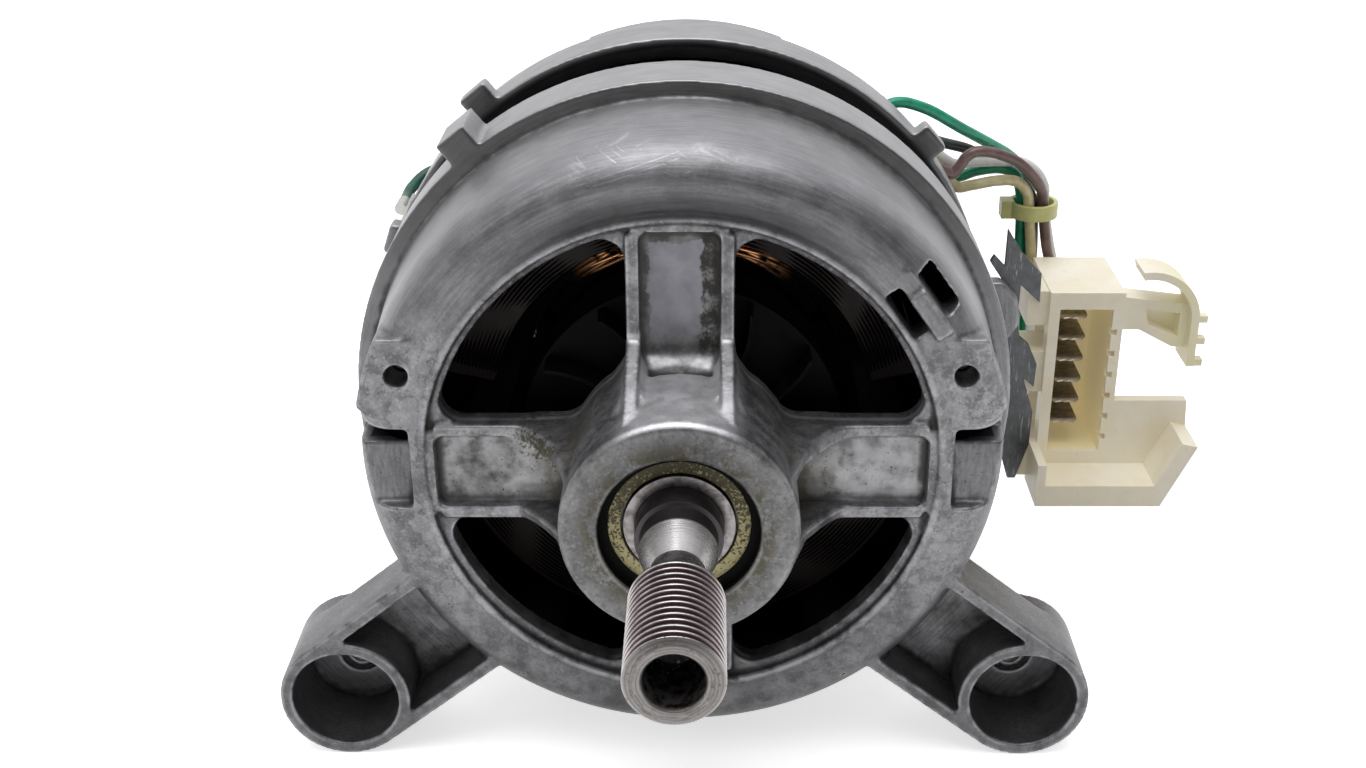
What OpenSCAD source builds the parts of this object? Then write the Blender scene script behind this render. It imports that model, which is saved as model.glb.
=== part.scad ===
// Washing machine motor: a commutator motor between two die-cast end shields.
// X is to the right and Z up as seen from the drive end, and Y runs back along the shaft.
// The origin is on the shaft axis, at the middle of the grooved pulley.

/* [Shaft and pulley] */
// Pitch of the belt grooves
groove_pitch = 1.6; // [1.4:0.05:2.4]
// Number of belt grooves
groove_count = 13; // [6:1:15]
// Depth of a belt groove
groove_depth = 1.3; // [0.8:0.05:1.5]
// Flat left on the crest between two grooves
groove_crest = 0.4; // [0.2:0.05:0.6]
// Flat at the bottom of a groove
groove_root = 0.3; // [0.1:0.05:0.5]
// Radius of the pulley over its crests
pulley_r = 7.75; // [7.2:0.05:9]
// Length of the chamfer on the pulley's free end
pulley_chamfer = 0.6; // [0.3:0.1:1.2]
// Radius of the recess in the pulley's free end
end_bore_r = 4.7; // [3:0.1:5]
// Depth of the recess in the pulley's free end
end_bore_depth = 12; // [6:0.5:16]
// Radius of the neck behind the pulley
neck_r = 4.6; // [3.8:0.1:6]
// Length of the neck behind the pulley
neck_len = 8; // [4:0.5:10]
// Length of the cone from the neck to the collar
cone_len = 6.6; // [4:0.2:8]
// Radius of the collar in front of the bearing seat
collar_r = 6.65; // [6.2:0.05:7.3]
// Length of that collar
collar_len = 4.2; // [2:0.2:5]
// Radius of the shaft end that carries the tacho magnet
tail_r = 4; // [3:0.1:5]

/* [Bearings] */
// Outer diameter of the front bearing
front_od = 35; // [32:0.5:37]
// Bore of the front bearing, which is the shaft's diameter
front_bore = 15; // [14:0.5:17]
// Width of the front bearing
front_w = 11; // [9:0.5:13]
// Number of balls in the front bearing
front_balls_n = 8; // [6:1:9]
// Outer diameter of the rear bearing
rear_od = 32; // [30:0.5:34]
// Bore of the rear bearing
rear_bore = 12; // [10:0.5:13]
// Width of the rear bearing
rear_w = 10; // [9:0.5:12]
// Number of balls in the rear bearing
rear_balls_n = 7; // [6:1:8]
// Thickness of a bearing seal
seal_t = 0.9; // [0.5:0.1:1.2]

/* [Front shield] */
// Gap from the shaft's collar to the face of the hub
hub_gap = 2; // [1:0.1:6]
// Wall of the hub around the bearing
hub_wall = 3.1; // [2.5:0.1:5]
// Thickness of the hub's lip in front of the bearing
lip_t = 3; // [2:0.1:5]
// How far the lip reaches in over the bearing
lip_overlap = 3.7; // [2:0.1:4.2]
// How far the hub's face stands in front of the ring's face
hub_proud = 24.7; // [20:0.1:28]
// Radius of the windows' outer edge
window_r = 45.3; // [40:0.1:46]
// Radius of the rounded corners of the windows
window_round = 4; // [2:0.5:6]
// Thickness of the ring and of the spokes
plate_t = 6; // [4.5:0.1:7]
// Depth of the step around the windows
ledge_drop = 1.2; // [0.5:0.1:2]
// Width of the step around the windows
ledge_w = 1.3; // [0.8:0.1:2]
// Width of the bead around the windows
bead_w = 1.6; // [1:0.1:2.5]
// Height of that bead
bead_h = 0.7; // [0.3:0.1:1.2]
// Radius where the flat ring turns into the dome
face_r = 52.3; // [50:0.1:54]
// Length of the dome from the ring's face to the flange
dome_depth = 27.5; // [24:0.5:32]
// Length of the rounded edge at the front of the dome
dome_round = 9.3; // [6:0.1:14]
// How much the dome widens behind that edge
dome_taper = 1.2; // [0:0.1:2]
// Wall of the dome
dome_wall = 3.6; // [2.5:0.1:4.5]
// Step from the dome up to the flange
flange_step = 3.15; // [2:0.05:4]
// Width of the flange
flange_w = 15.1; // [12:0.1:18]
// Wall of both shields where they hold the stator
flange_wall = 5.3; // [4:0.1:7]
// Width of a spoke
spoke_w = 19; // [16:0.5:22]
// Width of the rib along each side of a spoke
spoke_rib = 2.4; // [1.5:0.1:3.5]
// Depth of the pocket between the ribs
spoke_pocket = 2.8; // [1.5:0.1:3.5]
// How far the two side spokes lie below the shaft axis
spoke_drop = 1.2; // [0:0.1:2]
// Height of the ribs where they climb the hub
rib_climb = 4.4; // [2:0.1:6]
// Radius of the two small holes in the face
face_hole_r = 2.1; // [1.6:0.1:2.6]

/* [Mounting lugs] */
// Distance of each lug cup from the middle of the motor
lug_x = 66.5; // [62:0.5:75]
// How far the lug cups lie below the shaft axis
lug_drop = 52.5; // [50:0.5:54]
// Outer radius of a lug cup
lug_r = 12.8; // [11.5:0.1:15]
// Wall of a lug cup
lug_wall = 2.4; // [2:0.1:3.5]
// How far the cup's mouth lies behind the ring's face
lug_setback = 1.5; // [0:0.1:4]
// Depth of a lug cup
cup_depth = 16.5; // [10:0.5:18]
// Thickness of the cup's floor
cup_floor = 3; // [2:0.1:5]
// Radius of the ring groove in the cup's floor
cup_boss_r = 4.2; // [3:0.1:6]
// Radius of the hole through that boss
cup_hole_r = 2; // [1.5:0.1:2.5]
// Depth of the two plates that carry a cup
lug_depth = 14; // [10:0.5:18]
// Thickness of those plates and of the web between them
lug_plate = 2.6; // [2:0.1:4]

/* [Stator] */
// Radius of the stator core
stator_r = 58.6; // [58:0.1:62]
// Length of the stator core
stack_len = 39; // [36:0.5:48]
// Length of the core held in the front shield
front_register = 7.5; // [5:0.5:10]
// Length of the core held in the rear shield
rear_register = 13.5; // [10:0.5:16]
// Width of a field coil across its slot
coil_w = 9.2; // [8:0.1:9.5]
// Width of the stator's yoke behind the coils
yoke_w = 12.1; // [11.5:0.1:13]
// Length of a coil head beyond the core
coil_head = 14; // [10:0.5:14]
// Gap between a coil and the walls of its slot
coil_gap = 0.5; // [0.3:0.1:1]
// Half angle of a pole
pole_angle = 30; // [24:1:34]

/* [Rotor] */
// Distance from the stator's edge in to the rotor
stator_w = 27.4; // [27.1:0.1:28.6]
// Air gap between the rotor and the stator
air_gap = 0.5; // [0.4:0.05:0.8]
// Number of rotor slots
rotor_slots = 12; // [8:1:14]
// Radius of the winding in a rotor slot
slot_r = 3.2; // [2:0.1:3.6]
// Length of a winding head
winding_head = 11.5; // [8:0.5:12]
// Radius of the fan
fan_r = 30; // [24:0.5:32]
// Length of the fan
fan_len = 8.5; // [6:0.5:9]
// Number of fan blades
fan_blades = 13; // [7:1:19]
// Radius of the commutator
comm_r = 16.8; // [15:0.1:18]
// Length of the commutator
comm_len = 20; // [18:0.5:21]
// Number of commutator bars
comm_bars = 24; // [12:2:36]

/* [Rear shield] */
// Width of the ring on the rear shield
rear_ring_w = 13.2; // [11:0.1:16]
// Length of the rear shield behind its ring
rear_depth = 42; // [42:0.5:50]
// Radius of the rear shield's flat end
rear_face_r = 44; // [42:0.5:48]
// Thickness of the rear shield's end wall
rear_plate = 4; // [3:0.1:5]
// Length of the tacho cap
tacho_len = 12.5; // [11:0.5:16]

/* [Brushes] */
// Width of a carbon brush across the shaft
brush_t = 5; // [4:0.5:6.5]
// Width of a carbon brush along the shaft
brush_w = 12.4; // [10:0.2:13]
// Length of a carbon brush
brush_len = 19; // [14:0.5:22]
// Wall of the brass brush guide
guide_t = 0.8; // [0.5:0.1:1]
// Wall of the brush holder around the guide
holder_wall = 2.4; // [1.8:0.1:2.6]
// Thickness of the flange of a brush holder
holder_flange = 2.5; // [2:0.1:4]

/* [Screws] */
// Radius of a clamp screw
clamp_r = 2; // [1.5:0.1:2.2]
// Distance of the clamp screws from the stator's edge
clamp_edge = 5; // [4.4:0.1:5.4]
// Angle of the upper clamp screws above the shaft axis
clamp_angle = 19.5; // [17:0.5:24]

/* [Connector] */
// Number of blades in the connector
blade_count = 6; // [3:1:6]
// Pitch of the blades
blade_pitch = 5; // [4.5:0.1:5.2]
// Width of a blade
blade_w = 6.3; // [4.8:0.1:7]
// Thickness of a blade
blade_t = 0.8; // [0.5:0.1:1]
// Width of the connector's socket
socket_w = 11.4; // [10:0.1:13]
// Depth of the connector housing
housing_depth = 22; // [20:0.5:26]
// Wall of the connector housing
housing_wall = 2.3; // [1.5:0.1:2.6]
// How far the trough stands in front of the socket
trough_len = 11; // [6:0.5:14]
// Thickness of the steel clip
clip_t = 1; // [0.6:0.1:1.5]

/* [Leads] */
// Diameter of a lead
lead_d = 2.4; // [1.8:0.1:2.4]
// Height of the cable tie
tie_h = 3.4; // [2.4:0.2:4]

/* [Hidden] */
fine = 96;
coarse = 40;
eps = 0.01;
// Clearance of pieces that are fitted together and stay put
seat_fit = 0.03;
// Clearance of balls in their races
ball_fit = 0.05;
// Clearance of a brush in its guide
brush_fit = 0.1;
// Gap between a seal and the ring that turns in it
seal_gap = 0.4;
seal_sink = 0.2;

// Gaps and short lengths along the shaft
fan_gap = 1.2;
comm_gap = 2.5;
rear_hub_lip = 2.5;
tail_short = 3;

// Axial places, from the drive end to the tacho
pulley_half = groove_pitch * groove_count / 2;
neck_y = pulley_half + groove_pitch / 2;
cone_y = neck_y + neck_len;
collar_y = cone_y + cone_len;
shaft_y = collar_y + collar_len;
hub_y = shaft_y + hub_gap;
front_bearing_y = hub_y + lip_t;
ring_y = hub_y + hub_proud;
ring_back = ring_y + plate_t;
flange_y = ring_y + dome_depth;
flange_end = flange_y + flange_w;
stack_y = flange_end - front_register;
stack_end = stack_y + stack_len;
rear_y = stack_end - rear_register;
rear_ring_end = rear_y + rear_ring_w;
rear_end = rear_ring_end + rear_depth;
rear_inside = rear_end - rear_plate;
rear_bearing_y = rear_inside + eps;
rear_hub_end = rear_bearing_y + rear_w + rear_hub_lip;
tail_end = rear_hub_end + tacho_len - tail_short;
fan_y = ring_back + fan_gap;
comm_y = stack_end + winding_head + comm_gap;
brush_y = comm_y + comm_len / 2;

// Radii
shaft_r = front_bore / 2;
register_r = stator_r + seat_fit;
shield_r = register_r + flange_wall;
dome_r = shield_r - flange_step;
dome_in = dome_r - dome_wall;
hub_r = front_od / 2 + hub_wall;
lip_r = front_od / 2 - lip_overlap;
bead_r = window_r + ledge_w;
rear_hub_wall = 3.2;
rear_hub_r = rear_od / 2 + rear_hub_wall;
rotor_r = stator_r - stator_w;
stator_bore = rotor_r + air_gap;
slot_r1 = stator_r - yoke_w;
coil_r1 = slot_r1 - coil_gap;
coil_r0 = coil_r1 - coil_w;
slot_r0 = coil_r0 - coil_gap;
slot_centre = rotor_r - slot_r - 2.6;

// Lugs
lug_z = -lug_drop;
lug_y = ring_y + lug_setback;
lug_angle = atan2(lug_z, lug_x);
lug_reach = norm([lug_x, lug_z]);
cup_r = lug_r - lug_wall;
cup_groove = 1;

// Spokes and windows
spoke_half = spoke_w / 2;
pocket_w = spoke_w - 2 * spoke_rib;
pocket_step = 1.8;
pocket_front = 4;

// Details of the rear shield
rear_lip = 1.6;
rear_lead_in = 5;
ear_len = 5;
ear_w = 6.6;
ear_root = stator_r + 2;
rear_window_r0 = rear_hub_r + 4;
rear_window_r1 = rear_face_r - 3;
rear_spoke_angle = 18;
vent_w = 11;
vent_y = rear_ring_end + 5;
vent_len = 22;
cable_w = 28;
cable_y = rear_ring_end + 2.5;
cable_len = 18;
tail_hole_r = tail_r + 2.5;
tab_rise = 8.8;
tab_half = 20;
comm_hub_r = 10.6;
dust_r = (front_od + front_bore) / 4 - 0.25;
tacho_coil_r0 = 12.2;
tacho_coil_r1 = 17;
tacho_wall = 1.8;
tacho_gap = 1.2;
tacho_end = 0.5;
magnet_set = 1;

// Clamp screws
clamp_circle = stator_r - clamp_edge;
clamp_x = clamp_circle * cos(clamp_angle);
clamp_z = clamp_circle * sin(clamp_angle);
clamp_low_angle = 56;
clamp_boss_r = 6;
clamp_hole_r = clamp_r + 0.3;
clamp_seat = stack_end + 5;
clamp_head_r = 3.9;
clamp_well_r = clamp_head_r + 0.6;
clamp_head_h = 3;
clamp_well_end = rear_ring_end + 28;
clamp_tip = ring_back + 2;
clamp_places = [
  for (s = [-1, 1], a = [clamp_angle, -clamp_low_angle])
    clamp_circle * [s * cos(a), sin(a)]
];

// Brush holders
guide_in_t = brush_t + 2 * brush_fit;
guide_in_w = brush_w + 2 * brush_fit;
guide_out_t = guide_in_t + 2 * guide_t;
guide_out_w = guide_in_w + 2 * guide_t;
holder_t = guide_out_t + 2 * holder_wall;
holder_w = guide_out_w + 2 * holder_wall;
pad_inset = 0.1;
pad_x = stator_r - pad_inset;
pad_margin_z = 6.4;
pad_margin_y = 4;
pad_half_z = holder_t / 2 + pad_margin_z;
pad_half_y = holder_w / 2 + pad_margin_y;
guide_gap = 3.5;
guide_x = comm_r + guide_gap;
brush_gap = 0.3;
brush_x = comm_r + brush_gap;
guide_out = 3;
holder_x = guide_x + guide_out;
holder_cap = 7;
spring_seat = pad_x - holder_cap;
spring_x = brush_x + brush_len + brush_fit;
spring_r = 1.9;
spring_wire = 0.35;
spring_turns = 8;
spring_sides = 6;
brush_screw_r = 1.5;
brush_screw_len = 8;
holder_gap = 0.2;
brush_screw_z = holder_t / 2 + pad_margin_z / 2;

// Connector, hung on a boss of the rear ring
boss_z = 5.4;
boss_half = 6.6;
boss_out = 7.4;
boss_x = shield_r + boss_out;
clip_set = 4;
clip_y = rear_y + clip_set;
clip_out = 3.7;
clip_rise = 0.2;
clip_origin = [shield_r + clip_out, boss_z + clip_rise];
housing_out = 14;
housing_x = shield_r + housing_out;
housing_set = 3;
housing_y = rear_y + housing_set;
housing_end = housing_y + housing_depth;
housing_rise = 3.2;
housing_top = boss_z + housing_rise;
housing_w = socket_w + 2 * housing_wall;
socket_spare = 9;
socket_h = (blade_count - 1) * blade_pitch + socket_spare;
socket_lid = 3.8;
socket_top = housing_top - socket_lid;
socket_floor = 3;
housing_bottom = socket_top - socket_h - socket_floor;
socket_x = housing_x + housing_wall;
socket_end = 2.5;
socket_back = housing_end - socket_end;
blade_gap = 0.6;
blade_x = socket_x + blade_gap;
blade_drop = 2.8;
blade_top = socket_top - blade_drop;
blade_set = 3;
slit_drop = 3.2;
slit_depth = 1.2;
slit_h = 1.4;
blade_y = housing_y + blade_set;
trough_y = housing_y - trough_len;
trough_t = 5;
trough_z = housing_bottom - trough_t;
trough_out = 25.7;
trough_x = housing_x + trough_out;
trough_rise = 14.5;
trough_run = 6.6;
block_out = 4.4;
block_x = housing_x - block_out;
block_back = 8;
block_drop = 0.4;
block_tops = [0, 14.1, 36.4];
block_heights = [7.8, 9.5, 8];
side_opening = 10;
arm_t = 6;
arm_slope = 2.7;
arm_h = 8.4;
arm_low = 12.4;
arm_tip = 3.4;
arm_bend = 19.5;
arm_recess_t = 4;
hook_out = 20.4;
hook_x = housing_x + hook_out;
hook_drop = 5.2;
hook_z = housing_top - hook_drop;
hook_r = 11;
hook_t = 1.7;
hook_front = 3;
hook_tail = 10.5;
hook_end = 100;
hook_tooth = [2.2, 1.5];
hook_tooth_pitch = 5;
arm_end = hook_x + hook_r - 1;

// Leads: routes from the rear shield to the connector, counted from the edge of that shield's ring
tie_centre = [13.67, 28.9, 19];
tie_r = 4.5;
tie_t = 1;
tie_head = [2.8, 4.2, 4];
lead_sides = 8;
green_long_route = [
  [-26.43, 17.2, 40], [-20.53, 17.7, 45.8], [-13.33, 19.2, 44.5], [-4.23, 22.2, 39], [2.87, 27, 34.2],
  [8.07, 31.7, 30.2], [12.47, 33.5, 25.8], [13.47, 33, 23], [13.37, 32.2, 20.9], [13.27, 31.9, 19],
  [13.67, 32.7, 10], [14.67, 33.7, -3], [14.67, 33.7, -16], [16.07, 32.7, -20.5], [19.27, 29.2, -23],
  [20.07, 27, -23.4], [20.07, 25, -23.4]
];
brown_route = [
  [-18.93, 19.7, 34.2], [-12.53, 20.2, 33], [-8.33, 20.5, 30.4], [-6.13, 20.7, 29.4],
  [-4.63, 20.9, 31], [-3.33, 21.1, 33], [-0.93, 21.4, 34.2], [3.47, 22.2, 33.5], [8.77, 23.7, 30.9],
  [12.87, 25, 26.8], [14.97, 26.1, 23.2], [15.67, 26.9, 19], [17.07, 27.3, 11], [18.57, 27.9, 6],
  [19.77, 27.9, 2.8], [20.07, 26.9, 1.6], [20.07, 25, 1.6]
];
green_short_route = [
  [-18.93, 27.2, 33], [-12.73, 27.3, 32], [-7.93, 27.3, 29.4], [-4.43, 27, 26.8], [0.27, 27.5, 28],
  [5.37, 28.3, 28.3], [9.07, 29, 26.7], [10.37, 28.3, 23.3], [10.97, 28.7, 19], [11.57, 29.7, 10],
  [12.27, 30.9, -1], [12.27, 30.9, -12], [14.07, 30.2, -16.6], [18.67, 28.3, -18.2],
  [20.07, 26.9, -18.4], [20.07, 25, -18.4]
];
yellow_route = [
  [-18.93, 23.7, 32], [-12.33, 23.7, 32.2], [-7.93, 23.9, 29.2], [-4.73, 23.7, 25.6],
  [-1.33, 23.7, 25.9], [4.17, 24.1, 26.8], [8.67, 25.1, 26.3], [11.47, 25.9, 23.5], [12.37, 26.3, 19],
  [13.67, 27.1, 10], [14.57, 27.7, 3], [16.57, 28.1, -1.4], [19.07, 27.7, -3.1], [20.07, 26.9, -3.4],
  [20.07, 25, -3.4]
];
white_route = [
  [-18.93, 24.2, 37], [-13.43, 24.7, 35.8], [-8.43, 25, 32.2], [-4.93, 25.2, 30.2],
  [-1.23, 25.7, 30.6], [5.07, 26.4, 30.6], [9.67, 27.7, 30], [13.47, 28.7, 27.6], [15.87, 29.6, 23.6],
  [16.27, 29.7, 19], [18.07, 30.7, 11], [20.57, 31.3, 1], [20.67, 31.1, -8], [20.37, 29.1, -12.6],
  [20.07, 27.1, -13.4], [20.07, 25, -13.4]
];
black_route = [
  [-18.93, 30.2, 36], [-13.43, 30.2, 35.6], [-7.73, 30.1, 33.8], [-1.43, 30.5, 32], [4.67, 31.1, 28.8],
  [8.67, 31.5, 26.4], [11.87, 30.7, 23.6], [13.47, 29.4, 20.8], [13.67, 28.9, 19], [14.47, 29.7, 10],
  [15.07, 30.7, 0], [16.57, 30.1, -5.6], [19.07, 28.3, -8], [20.07, 27, -8.4], [20.07, 25, -8.4]
];
earth_route = [
  [0, 6, 0], [0, 9.2, 0], [0.57, 13.3, 0.87], [3.52, 17.9, 2.62], [9.39, 21.3, 3.49],
  [15.73, 22.7, 2.19]
];
tag_angle = 154.5;
tag_seat = 0.1;
tag_r = shield_r + 1.6;

// Pads, scoops and slots of the front shield
pad_in = clamp_x - 4.5;
pad_out = clamp_circle + 5.9;
pad_low = clamp_z - 8.9;
pad_high = clamp_z + 7.1;
pad_cut = 4;
notch_gap = 1.2;
notch_x = bead_r + bead_w + notch_gap;
notch_top = 7.2;
notch_bottom = -8.6;
notch_slot = 4.4;
notch_deep = 12;
notch_ramp = 5;
notch_shallow = 2.8;
strap_angle = 35.5;
strap_w = 9.6;
strap_slot = 3.2;
strap_shift = 1.4;
strap_bar = 3.4;
strap_proud = 1.1;
strap_lap = 0.3;
strap_r0 = bead_r + bead_w - strap_lap;
strap_r1 = strap_r0 + strap_slot + strap_bar;

aluminium = [0.62, 0.63, 0.65];
steel = [0.72, 0.71, 0.72];
cream = [0.93, 0.89, 0.78];
copper = [0.62, 0.33, 0.16];

// Turns a profile of [radius, y] points about the shaft axis
module turned() {
  rotate([-90, 0, 0]) rotate_extrude($fn = fine) children();
}

// Extrudes an outline drawn in x and z, as seen from the drive end, from y0 back to y1
module along(y0, y1) {
  translate([0, y1, 0]) rotate([90, 0, 0]) linear_extrude(y1 - y0) children();
}

module rod(x, z, r, y0, y1) {
  translate([x, y1, z]) rotate([90, 0, 0]) cylinder(r = r, h = y1 - y0, $fn = coarse);
}

module washer(r0, r1, y0, y1) {
  turned() translate([r0, y0]) square([r1 - r0, y1 - y0]);
}

module both_sides() {
  children();
  mirror([1, 0, 0]) children();
}

// Part of a flat ring between two angles
module sector(r0, r1, a0, a1) {
  reach = 2 * r1;
  steps = 5;
  intersection() {
    difference() {
      circle(r = r1, $fn = fine);
      circle(r = r0, $fn = fine);
    }
    polygon(concat([[0, 0]], [
      for (i = [0:steps]) let (a = a0 + (a1 - a0) * i / steps) reach * [cos(a), sin(a)]
    ]));
  }
}

// Quarter of an ellipse that turns a face of radius r0 at y0 into a wall of radius r1 at y1
function dome_curve(r0, y0, r1, y1) = [
  for (t = [0:10:90]) [r0 + (r1 - r0) * sin(t), y0 + (y1 - y0) * (1 - cos(t))]
];

// Material that rounds the corner between the spoke side at x = d and the window's outer edge
module outer_corner(d, r) {
  w = window_round;
  c = [d + w, sqrt(pow(r - w, 2) - pow(d + w, 2))];
  difference() {
    polygon([[d - 1, c[1]], [d - 1, r + 1], c * (r + 1) / (r - w), c]);
    translate(c) circle(r = w, $fn = coarse);
  }
}

// Material that rounds the corner between the spoke side at x = d and the hub
module inner_corner(d, r) {
  w = window_round;
  c = [d + w, sqrt(pow(r + w, 2) - pow(d + w, 2))];
  difference() {
    polygon([[d - 1, c[1]], [d - 1, 0], c * (r - 1) / (r + w), c]);
    translate(c) circle(r = w, $fn = coarse);
  }
}

// One window: dx and dz are the sides of the two spokes that it lies between
module window(dx, dz) {
  difference() {
    intersection() {
      circle(r = window_r, $fn = fine);
      translate([dx, dz]) square(window_r);
    }
    circle(r = hub_r, $fn = fine);
    outer_corner(dx, window_r);
    inner_corner(dx, hub_r);
    mirror([1, -1]) {
      outer_corner(dz, window_r);
      inner_corner(dz, hub_r);
    }
  }
}

module windows() {
  for (s = [0, 1]) mirror([s, 0]) {
    window(spoke_half, spoke_half - spoke_drop);
    mirror([0, 1]) window(spoke_half, spoke_half + spoke_drop);
  }
}

// The pocket in the front of one spoke, drawn for the spoke that points up
module spoke_pocket_cut() {
  translate([-pocket_w / 2, hub_r - pocket_step])
    square([pocket_w, window_r - hub_r + pocket_step - ledge_w / 2]);
}

// Two ribs that climb from a spoke to the front of the hub
module hub_ribs() {
  for (s = [-1, 1]) translate([s * (spoke_half - spoke_rib / 2) - spoke_rib / 2, 0, 0])
    rotate([90, 0, 90]) linear_extrude(spoke_rib)
      polygon([
        [hub_y + 4, hub_r - 5], [hub_y + 4, hub_r - 1.8], [ring_y, hub_r + rib_climb],
        [ring_y + 1, hub_r + rib_climb + 1], [ring_y + 1, hub_r - 5]
      ]);
}

module spoke_places() {
  for (a = [0, 180]) rotate([0, a, 0]) children();
  translate([0, 0, -spoke_drop]) for (a = [90, 270]) rotate([0, a, 0]) children();
}

module dome_body() {
  turned() polygon(concat(
    [[0, ring_y + ledge_drop], [bead_r, ring_y + ledge_drop], [bead_r, ring_y - bead_h],
     [bead_r + bead_w, ring_y - bead_h], [bead_r + bead_w, ring_y]],
    dome_curve(face_r, ring_y, dome_r - dome_taper, ring_y + dome_round),
    [[dome_r, flange_y], [shield_r, flange_y], [shield_r, flange_end], [0, flange_end]]
  ));
}

module spokes_and_hub() {
  along(ring_y, ring_back) intersection() {
    circle(r = window_r + eps, $fn = fine);
    for (s = [0, 1]) rotate(90 * s)
      translate([s * -spoke_drop - spoke_half, -window_r]) square([spoke_w, 2 * window_r]);
  }
  turned() polygon([
    [0, hub_y], [hub_r - 1, hub_y], [hub_r, hub_y + 1], [hub_r, ring_back], [0, ring_back]
  ]);
  spoke_places() hub_ribs();
}

module front_inside() {
  turned() polygon(concat(
    [[0, ring_back]],
    dome_curve(face_r - dome_wall / 2, ring_back, dome_in - dome_taper, ring_back + dome_round),
    [[dome_in, stack_y], [register_r, stack_y], [register_r, flange_end + 1], [0, flange_end + 1]]
  ));
}

// Two plates, a web and the cup, drawn for the lug on the right
module lug() {
  along(lug_y, lug_y + lug_depth) rotate(lug_angle) for (v = [-lug_r, lug_r - lug_plate])
    translate([face_r, v]) square([lug_reach - face_r, lug_plate]);
  along(lug_y + lug_depth - lug_plate, lug_y + lug_depth) rotate(lug_angle)
    translate([face_r, -lug_r]) square([lug_reach - face_r, 2 * lug_r]);
  rod(lug_x, lug_z, lug_r, lug_y, lug_y + cup_depth + cup_floor);
}

module lug_cup() {
  cup_bottom = lug_y + cup_depth;
  rod(lug_x, lug_z, cup_r, lug_y - 1, cup_bottom);
  difference() {
    rod(lug_x, lug_z, cup_boss_r, cup_bottom - eps, cup_bottom + cup_groove);
    rod(lug_x, lug_z, cup_boss_r - cup_groove, cup_bottom - 1, cup_bottom + 2 * cup_groove);
  }
  rod(lug_x, lug_z, cup_hole_r, lug_y, cup_bottom + cup_floor + 1);
}

// Flat pad around each small hole of the face
module face_pad() {
  along(ring_y, flange_y - 6) intersection() {
    circle(r = pad_out, $fn = fine);
    polygon([
      [pad_in, pad_low], [pad_out - pad_cut, pad_low], [pad_out, pad_low + pad_cut],
      [pad_out, pad_high], [pad_in, pad_high]
    ]);
  }
}

// Scoop in each side of the face, deep at the top and running out below
module side_notch() {
  translate([notch_x, 0, 0]) rotate([90, 0, 90]) linear_extrude(shield_r - notch_x)
    polygon([
      [ring_y - 2, notch_top], [ring_y + notch_deep, notch_top],
      [ring_y + notch_deep, notch_top - notch_slot], [ring_y + notch_ramp, notch_top - notch_slot],
      [ring_y + notch_shallow, notch_bottom], [ring_y - 2, notch_bottom]
    ]);
}

// Pad with two slots at the upper right, where a strap is laced in
module strap_pad() {
  rotate([0, -strap_angle, 0]) {
    translate([strap_r0, ring_y, -strap_w * 0.7])
      cube([strap_r1 - strap_r0, 10, strap_w * 1.4 + strap_shift]);
    translate([strap_r1 - strap_bar, ring_y - strap_proud, -strap_w / 2 - strap_proud])
      cube([strap_bar, 8, strap_w]);
  }
}

module strap_slots() {
  along(ring_y - 2, ring_y + 16) rotate(strap_angle) for (r = [strap_r0, strap_r1])
    translate([r, strap_shift - strap_w / 2]) square([strap_slot, strap_w]);
}

// Square ear on the rim of a shield
module ear(a, w, reach, y0, y1) {
  along(y0, y1) rotate(a) translate([ear_root, -w / 2]) square([reach - ear_root, w]);
}

module front_shield() {
  color(aluminium) difference() {
    union() {
      difference() {
        union() {
          dome_body();
          spokes_and_hub();
          both_sides() lug();
          both_sides() face_pad();
          strap_pad();
          ear(128.5, ear_w, shield_r + 4.5, flange_y, flange_end - 2);
        }
        front_inside();
      }
      intersection() {
        for (p = clamp_places) rod(p[0], p[1], clamp_boss_r, ring_y + 1, stack_y);
        union() {
          dome_body();
          both_sides() face_pad();
        }
      }
    }
    along(ring_y - 5, ring_back + 1) windows();
    washer(0, lip_r, hub_y - 1, ring_back + 1);
    washer(0, front_od / 2 + seat_fit, front_bearing_y, ring_back + 1);
    for (a = [0, 180]) rotate([0, a, 0])
      along(ring_y - pocket_front, ring_y + spoke_pocket) spoke_pocket_cut();
    translate([0, 0, -spoke_drop]) for (a = [90, 270]) rotate([0, a, 0])
      along(ring_y - pocket_front, ring_y + spoke_pocket) spoke_pocket_cut();
    both_sides() lug_cup();
    both_sides() side_notch();
    strap_slots();
    for (p = clamp_places) rod(p[0], p[1], clamp_r + 0.1, ring_y + 1, stack_y + 1);
    for (s = [-1, 1])
      rod(s * clamp_x, clamp_z, face_hole_r, ring_y - 2, ring_y + 2);
  }
}

// Quarter of an ellipse that turns a wall of radius r1 at y0 into an end face of radius r0 at y1
function bell_curve(r0, y0, r1, y1) = [
  for (t = [0:10:90]) [r0 + (r1 - r0) * cos(t), y0 + (y1 - y0) * sin(t)]
];

module rear_outside() {
  turned() polygon(concat(
    [[0, rear_y], [shield_r, rear_y], [shield_r, rear_ring_end]],
    bell_curve(rear_face_r, rear_ring_end, dome_r, rear_end),
    [[0, rear_end]]
  ));
  washer(0, rear_hub_r, rear_inside, rear_hub_end);
}

module rear_cavity() {
  turned() polygon(concat(
    [[0, rear_y - 1], [shield_r - rear_lip, rear_y - 1], [shield_r - rear_lip, rear_y],
     [register_r, rear_y + rear_lead_in], [register_r, stack_end], [dome_in, stack_end]],
    bell_curve(rear_face_r - 1, stack_end + 2, dome_in, rear_inside),
    [[0, rear_inside]]
  ));
}

// Block that the brush holder is screwed to, drawn for the right side
module brush_pad() {
  translate([rear_face_r, brush_y - pad_half_y, -pad_half_z])
    cube([pad_x - rear_face_r, 2 * pad_half_y, 2 * pad_half_z]);
}

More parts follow.
